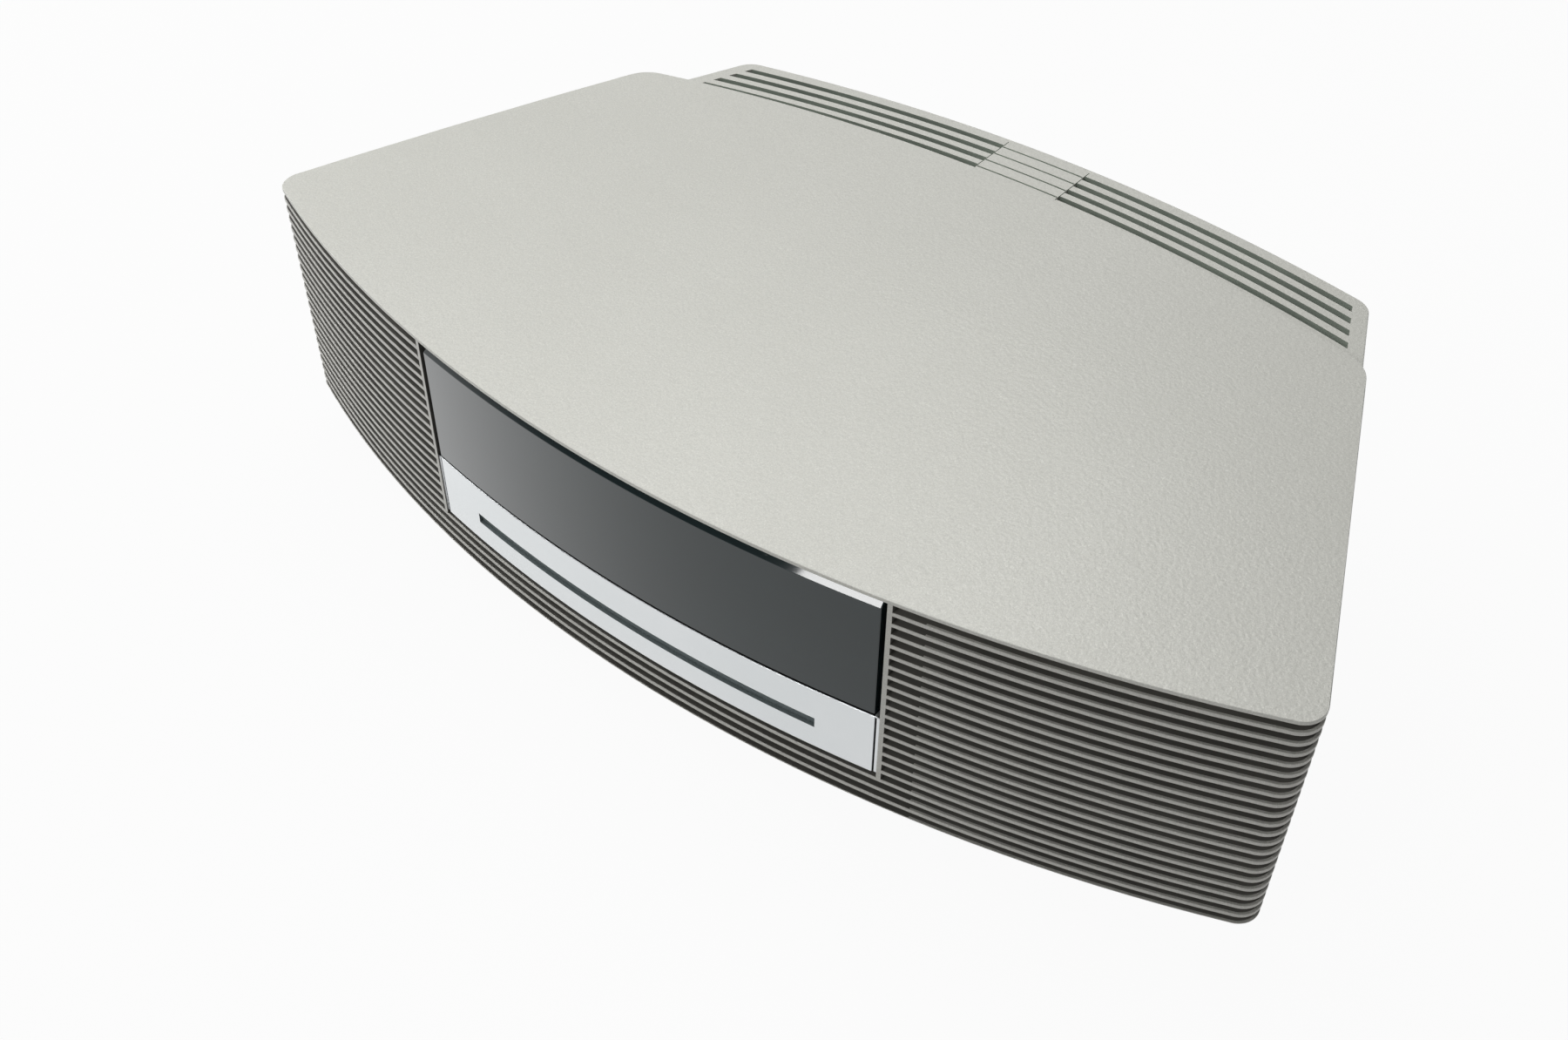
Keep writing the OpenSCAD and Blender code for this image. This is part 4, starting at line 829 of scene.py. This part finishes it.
# ---------- grille cloth ----------
cloth = {"inset": 4.55, "from": 95.7, "to": 159.7, "low": 17.5, "high": 89.1, "thickness": 0.35, "thread": 0.6}


def wovenCloth(name, colour):
    # plain weave: threads that pass over and under each other, in the piece's own directions
    f = Finish(name)
    turns = 2 * math.pi / (cloth["thread"] * mm)
    split = f.node("ShaderNodeSeparateXYZ", {}, {0: f.place})
    x, z = split, Socket(f, split.out.node.outputs[2])
    across, along = (x * turns).math("SINE"), (z * turns).math("SINE")
    weave = across * along * 0.5 + 0.5
    tone = f.mix(weave.between(0.1, 0.9), tuple(c * 0.45 for c in colour), colour)
    return f.surface(Base_Color=tone, Roughness=0.9, Normal=f.bump(weave, 0.12))


def grilleCloth(side):
    bm = bmesh.new()
    start, end = (math.degrees(math.asin(cloth[k] / housing["frontRadius"])) for k in ("from", "to"))
    line = [bm.verts.new((0, yFront + cloth["inset"], z)) for z in (cloth["low"], cloth["high"])]
    edge = bm.edges.new(line)
    bmesh.ops.rotate(bm, cent=frontCentre, matrix=Matrix.Rotation(math.radians(side * start), 3, "Z"), verts=line)
    turned(bm, [*line, edge], frontCentre, side * (end - start), 0.35)
    name = "left" if side < 0 else "right"
    piece = makePiece("grille_cloth_" + name, bm, [clothFinish], ["cloth_" + name])
    wall = piece.modifiers.new("wall", "SOLIDIFY")
    wall.thickness, wall.offset = cloth["thickness"] * mm, 0
    applied(piece)
    return piece


clothFinish = wovenCloth("grille_cloth", (0.05, 0.05, 0.05))
for side in (-1, 1):
    grilleCloth(side)
print("grille cloths ready")


# ---------- carried-over parts ----------
def cone(name):
    # paper pulp cone: long fibres and a dull coating
    f = Finish(name)
    pulp, fibres = f.noise(1.4, 4, 0.65), f.noise(0.3, 3, 0.7, (4, 1, 1))
    tone = f.mix(pulp.between(0.3, 0.7), (0.035, 0.035, 0.037), (0.075, 0.074, 0.072))
    return f.surface(Base_Color=tone, Roughness=0.85, Normal=f.bump(pulp + fibres * 0.5, 0.06))


def circuitBoard(name):
    # green solder mask over copper tracks that run both ways
    f = Finish(name)
    tracks = f.node("ShaderNodeTexBrick", {"offset": 0.5}, {
        "Vector": f.place, "Scale": 240.0, "Mortar Size": 0.06, "Brick Width": 1.6, "Row Height": 0.35}, 1)
    cloudy = f.noise(9, 3)
    mask = f.mix(cloudy.between(0.3, 0.7), (0.012, 0.085, 0.035), (0.016, 0.11, 0.045))
    return f.surface(Base_Color=f.mix(tracks * 0.6, mask, (0.05, 0.2, 0.07)), Roughness=0.35,
                     Normal=f.bump(tracks, 0.03))


def laminations(name):
    # stacked transformer steel under brown varnish
    f = Finish(name)
    split = f.node("ShaderNodeSeparateXYZ", {}, {0: f.place})
    sheets = (Socket(f, split.out.node.outputs[1]) * (2 * math.pi / (0.5 * mm))).math("SINE")
    varnish = f.noise(5, 4)
    tone = f.mix(varnish.between(0.3, 0.7), (0.13, 0.09, 0.06), (0.2, 0.15, 0.1))
    return f.surface(Base_Color=tone, Metallic=0.4, Roughness=0.5, Normal=f.bump(sheets, 0.05))


def wovenSpider(name):
    # resin-stiffened cloth of the cone's rear suspension
    f = Finish(name)
    weave = f.cells(0.5, "F1")
    return f.surface(Base_Color=f.mix(weave.between(0.1, 0.6), (0.5, 0.33, 0.11), (0.3, 0.18, 0.05)),
                     Roughness=0.8, Normal=f.bump(weave, 0.08))


def tubeGlass(name):
    # display tube: dark glass over a faint grid of segments
    f = Finish(name)
    grid = f.node("ShaderNodeTexBrick", {"offset": 0.0}, {
        "Vector": f.place, "Scale": 200.0, "Mortar Size": 0.12, "Brick Width": 0.6, "Row Height": 1.1}, 1)
    return f.surface(Base_Color=f.mix(grid, (0.02, 0.035, 0.035), (0.05, 0.06, 0.055)), Roughness=0.08)


slotFinishes = {
    "black plastic": lambda n: mouldedPlastic(n, (0.016, 0.016, 0.017), 0.5, 0.45, 0.02),
    "black frame": lambda n: mouldedPlastic(n, (0.008, 0.008, 0.009), 0.55, 0.4, 0.015),
    "black rubber": lambda n: mouldedPlastic(n, (0.012, 0.012, 0.012), 0.8, 0.7, 0.02),
    "screw steel": lambda n: metal(n, (0.09, 0.09, 0.1), 0.4),
    "basket steel": lambda n: metal(n, (0.16, 0.16, 0.17), 0.45),
    "magnet ferrite": lambda n: mouldedPlastic(n, (0.06, 0.06, 0.065), 0.5, 0.8, 0.04, 0.3),
    "cone paper": cone,
    "spider cloth": wovenSpider,
    "duct plastic": lambda n: mouldedPlastic(n, (0.035, 0.036, 0.037), 0.55, 0.6, 0.02),
    "circuit board": circuitBoard,
    "tube glass": tubeGlass,
    "heat sink aluminium": lambda n: metal(n, (0.62, 0.63, 0.64), 0.4, (1, 1, 12)),
    "transformer core": laminations,
    "socket plastic": lambda n: mouldedPlastic(n, (0.014, 0.014, 0.015), 0.42, 0.5, 0.012),
    "sheet steel": lambda n: metal(n, (0.55, 0.56, 0.58), 0.35, (1, 10, 1)),
    "motor steel": lambda n: metal(n, (0.6, 0.6, 0.62), 0.3, (1, 1, 8)),
    "shaft steel": lambda n: metal(n, (0.68, 0.68, 0.7), 0.22, (12, 1, 1)),
    "gear plastic": lambda n: mouldedPlastic(n, (0.72, 0.71, 0.66), 0.45, 0.5, 0.01, 0.05),
    "brass pinion": lambda n: metal(n, (0.72, 0.53, 0.24), 0.28),
    "dark plastic": lambda n: mouldedPlastic(n, (0.028, 0.028, 0.031), 0.45, 0.5, 0.012),
    "traverse steel": lambda n: metal(n, (0.42, 0.43, 0.46), 0.4, (10, 1, 1)),
    "platinum plastic": lambda n: coverPaint,
    "rib plastic": lambda n: paint,
    "tinted lens": lambda n: lensFinish,
    "bright silver plastic": lambda n: silver,
    "felt": lambda n: slotFelt,
    "grille cloth": lambda n: clothFinish,
}


def dressNodes():
    made = {}
    for entry in frame["record"]["subparts"]:
        slot, data = entry["material_slot"], frame["nodes"][entry["node"]].data
        if slot not in made:
            made[slot] = slotFinishes[slot](slot.replace(" ", "_"))
        data.materials.clear()
        data.materials.append(made[slot])


dressNodes()
print("carried-over parts dressed")


# ---------- floor, backdrop and light ----------
studio = {
    "floorSize": 6.0, "floorTone": 0.5, "whiteShare": 0.95, "ambient": 0.22,
    "zenith": 0.15, "overhead": 8.8, "window": 3.8, "side": 7.5,
}


def seenWhite(f):
    # 1 for what the camera, gloss and glass see, 0 for the light that falls on the object
    path = f.node("ShaderNodeLightPath")
    glossy, through = (Socket(f, path.out.node.outputs[n]) for n in ("Is Glossy Ray", "Is Transmission Ray"))
    return Socket(f, path.out.node.outputs["Is Camera Ray"]).math("MAXIMUM", glossy).math("MAXIMUM", through)


def makeFloor():
    bm = bmesh.new()
    bmesh.ops.create_grid(bm, x_segments=4, y_segments=4, size=studio["floorSize"])
    mesh = bpy.data.meshes.new("floor")
    bm.to_mesh(mesh)
    bm.free()
    floor = bpy.data.objects.new("floor", mesh)
    scene.collection.objects.link(floor)
    f = Finish("floor_paper")
    share = seenWhite(f) * studio["whiteShare"]
    across = Socket(f, f.node("ShaderNodeSeparateXYZ", {}, {0: f.place}).out.node.outputs[0])
    mirrored = Socket(f, f.tree.nodes.new("ShaderNodeLightPath").outputs["Is Glossy Ray"])
    # in reflections the floor glows up to a quarter brighter towards the left and a little dimmer towards the right: a
    # painted pool of light, seen only in gloss
    strength = mirrored * (across.between(-0.32, 0.14, 1.0, 0.0) * 0.3 - 0.05) + 1.0
    tone = studio["floorTone"]
    paper = f.node("ShaderNodeBsdfDiffuse", {}, {"Color": (tone, tone, tone, 1)})
    glow = f.node("ShaderNodeEmission", {}, {"Color": (1, 1, 1, 1), "Strength": strength})
    both = f.node("ShaderNodeMixShader", {}, {0: share, 1: paper, 2: glow})
    output = f.tree.nodes.new("ShaderNodeOutputMaterial")
    f.tree.links.new(both.out, output.inputs["Surface"])
    mesh.materials.append(f.material)


class Sky(Finish):
    # the world's nodes, built as a finish is
    def __init__(self):
        world = bpy.data.worlds.new("studio")
        world.use_nodes = True
        scene.world = world
        self.tree = world.node_tree
        self.tree.nodes.clear()
        self.place = self.node("ShaderNodeTexCoord", {}, {}, "Generated")


def makeSky():
    f = Sky()
    height = Socket(f, f.node("ShaderNodeSeparateXYZ", {}, {0: f.place}).out.node.outputs[2])
    path = f.node("ShaderNodeLightPath")
    seen = Socket(f, path.out.node.outputs["Is Camera Ray"])
    shine = height.between(0.3, 0.5, 1.0, studio["zenith"])
    plain = f.node("ShaderNodeBackground", {}, {"Color": (1, 1, 1, 1), "Strength": studio["ambient"]})
    mirrored = f.node("ShaderNodeBackground", {}, {"Color": (1, 1, 1, 1), "Strength": shine})
    white = f.node("ShaderNodeBackground", {}, {"Color": (1, 1, 1, 1), "Strength": 1.0})
    glossy = Socket(f, path.out.node.outputs["Is Glossy Ray"])
    lit = f.node("ShaderNodeMixShader", {}, {0: glossy, 1: plain, 2: mirrored})
    both = f.node("ShaderNodeMixShader", {}, {0: seen, 1: lit, 2: white})
    output = f.tree.nodes.new("ShaderNodeOutputWorld")
    f.tree.links.new(both.out, output.inputs["Surface"])


def areaLight(name, place, size, power, target=(0, 0, 60)):
    data = bpy.data.lights.new(name, "AREA")
    data.shape, data.size, data.size_y, data.energy = "RECTANGLE", size[0], size[1], power
    lamp = bpy.data.objects.new(name, data)
    lamp.location = Vector(place) * mm
    lamp.rotation_euler = (Vector(target) * mm - lamp.location).to_track_quat("-Z", "Y").to_euler()
    scene.collection.objects.link(lamp)


def makeStudio():
    makeFloor()
    makeSky()
    areaLight("overhead", (-450, 400, 1250), (1.0, 1.0), studio["overhead"])
    areaLight("side", (-1200, -160, 1000), (0.7, 0.5), studio["side"])
    areaLight("window", (-150, -1150, 970), (0.34, 0.2), studio["window"])
    scene.view_settings.view_transform = "Standard"


makeStudio()
print("studio ready")


# ---------- what shows, against the image points ----------
def shownPlaces(piece):
    evaluated = piece.evaluated_get(bpy.context.evaluated_depsgraph_get())
    return [evaluated.matrix_world @ v.co for v in evaluated.data.vertices]


def extreme(piece, x, y):
    # the finished vertex that shows furthest in an image direction
    return max((toImage(p) for p in shownPlaces(piece)), key=lambda q: q[0] * x + q[1] * y)


def nearestShown(piece, place):
    return toImage(min(shownPlaces(piece), key=lambda p: (p - Vector(place) * mm).length))


def rearArcX(radius, x):
    return rearCentre.y + math.sqrt(radius ** 2 - x ** 2)


def faceCorner(piece, x, z):
    # a corner on the bowed front face
    reach = housing["frontRadius"] - front["proud"]
    return nearestShown(piece, (x, frontCentre.y - math.sqrt(reach ** 2 - x ** 2), z))


def ventEnd(side):
    # where the rearmost slot ends at the side
    radius = housing["rearRadius"] - deck["first"]
    x = min((x / 10 for x in range(900, 1300)), key=lambda x: abs(
        Vector((x, rearArcX(radius, x), 0)).dot(sideNormal) - sideReach + deck["margin"]))
    return side * x, rearArcX(radius, x), zDeck


def writePoints():
    whole = [toImage(p) for piece in (wrapPiece, coverPiece, deckPiece) for p in shownPlaces(piece)]
    rearRow = housing["rearRadius"] - deck["first"]
    slotZ = lowest("disc_fascia").z + front["slotLevel"] - front["slotHeight"] / 2
    lensTop = highest("display_lens").z - front["lensDrop"] - front["chamfer"]
    joint = lowest("display_lens").z - front["seamDrop"]
    found = {
        "left": min(q[0] for q in whole), "right": max(q[0] for q in whole),
        "top": min(q[1] for q in whole), "bottom": max(q[1] for q in whole),
        "lensLeftTop": faceCorner(lensPiece, -front["lensHalf"], lensTop),
        "lensRightTop": faceCorner(lensPiece, front["lensHalf"], lensTop),
        "lensRightBottom": faceCorner(lensPiece, front["lensHalf"], joint),
        "fasciaRightTop": faceCorner(fasciaPiece, front["fasciaHalf"], joint),
        "fasciaRightBottom": extreme(fasciaPiece, 0.6, 1),
        "slotLeft": faceCorner(fasciaPiece, -front["slotHalf"], slotZ),
        "slotRight": faceCorner(fasciaPiece, front["slotHalf"], slotZ),
        "coverRearLeft": extreme(coverPiece, -0.15, -1), "coverFrontRight": extreme(coverPiece, 0.6, 0.8),
        "wrapFrontRight": extreme(wrapPiece, 0.5, 1),
        "ventLeftEnd": nearestShown(deckPiece, ventEnd(-1)), "ventRightEnd": nearestShown(deckPiece, ventEnd(1)),
        "bridgeLeft": nearestShown(deckPiece, (-deck["bridge"], rearArcX(rearRow, deck["bridge"]), zDeck)),
        "bridgeRight": nearestShown(deckPiece, (deck["bridge"], rearArcX(rearRow, deck["bridge"]), zDeck)),
    }
    for name, place in found.items():
        point = imagePoints[name]
        if isinstance(point, tuple):
            [round(place[i] - point[i], 1) for i in (0, 1)]
        else:
            round(place - point, 1)


writePoints()
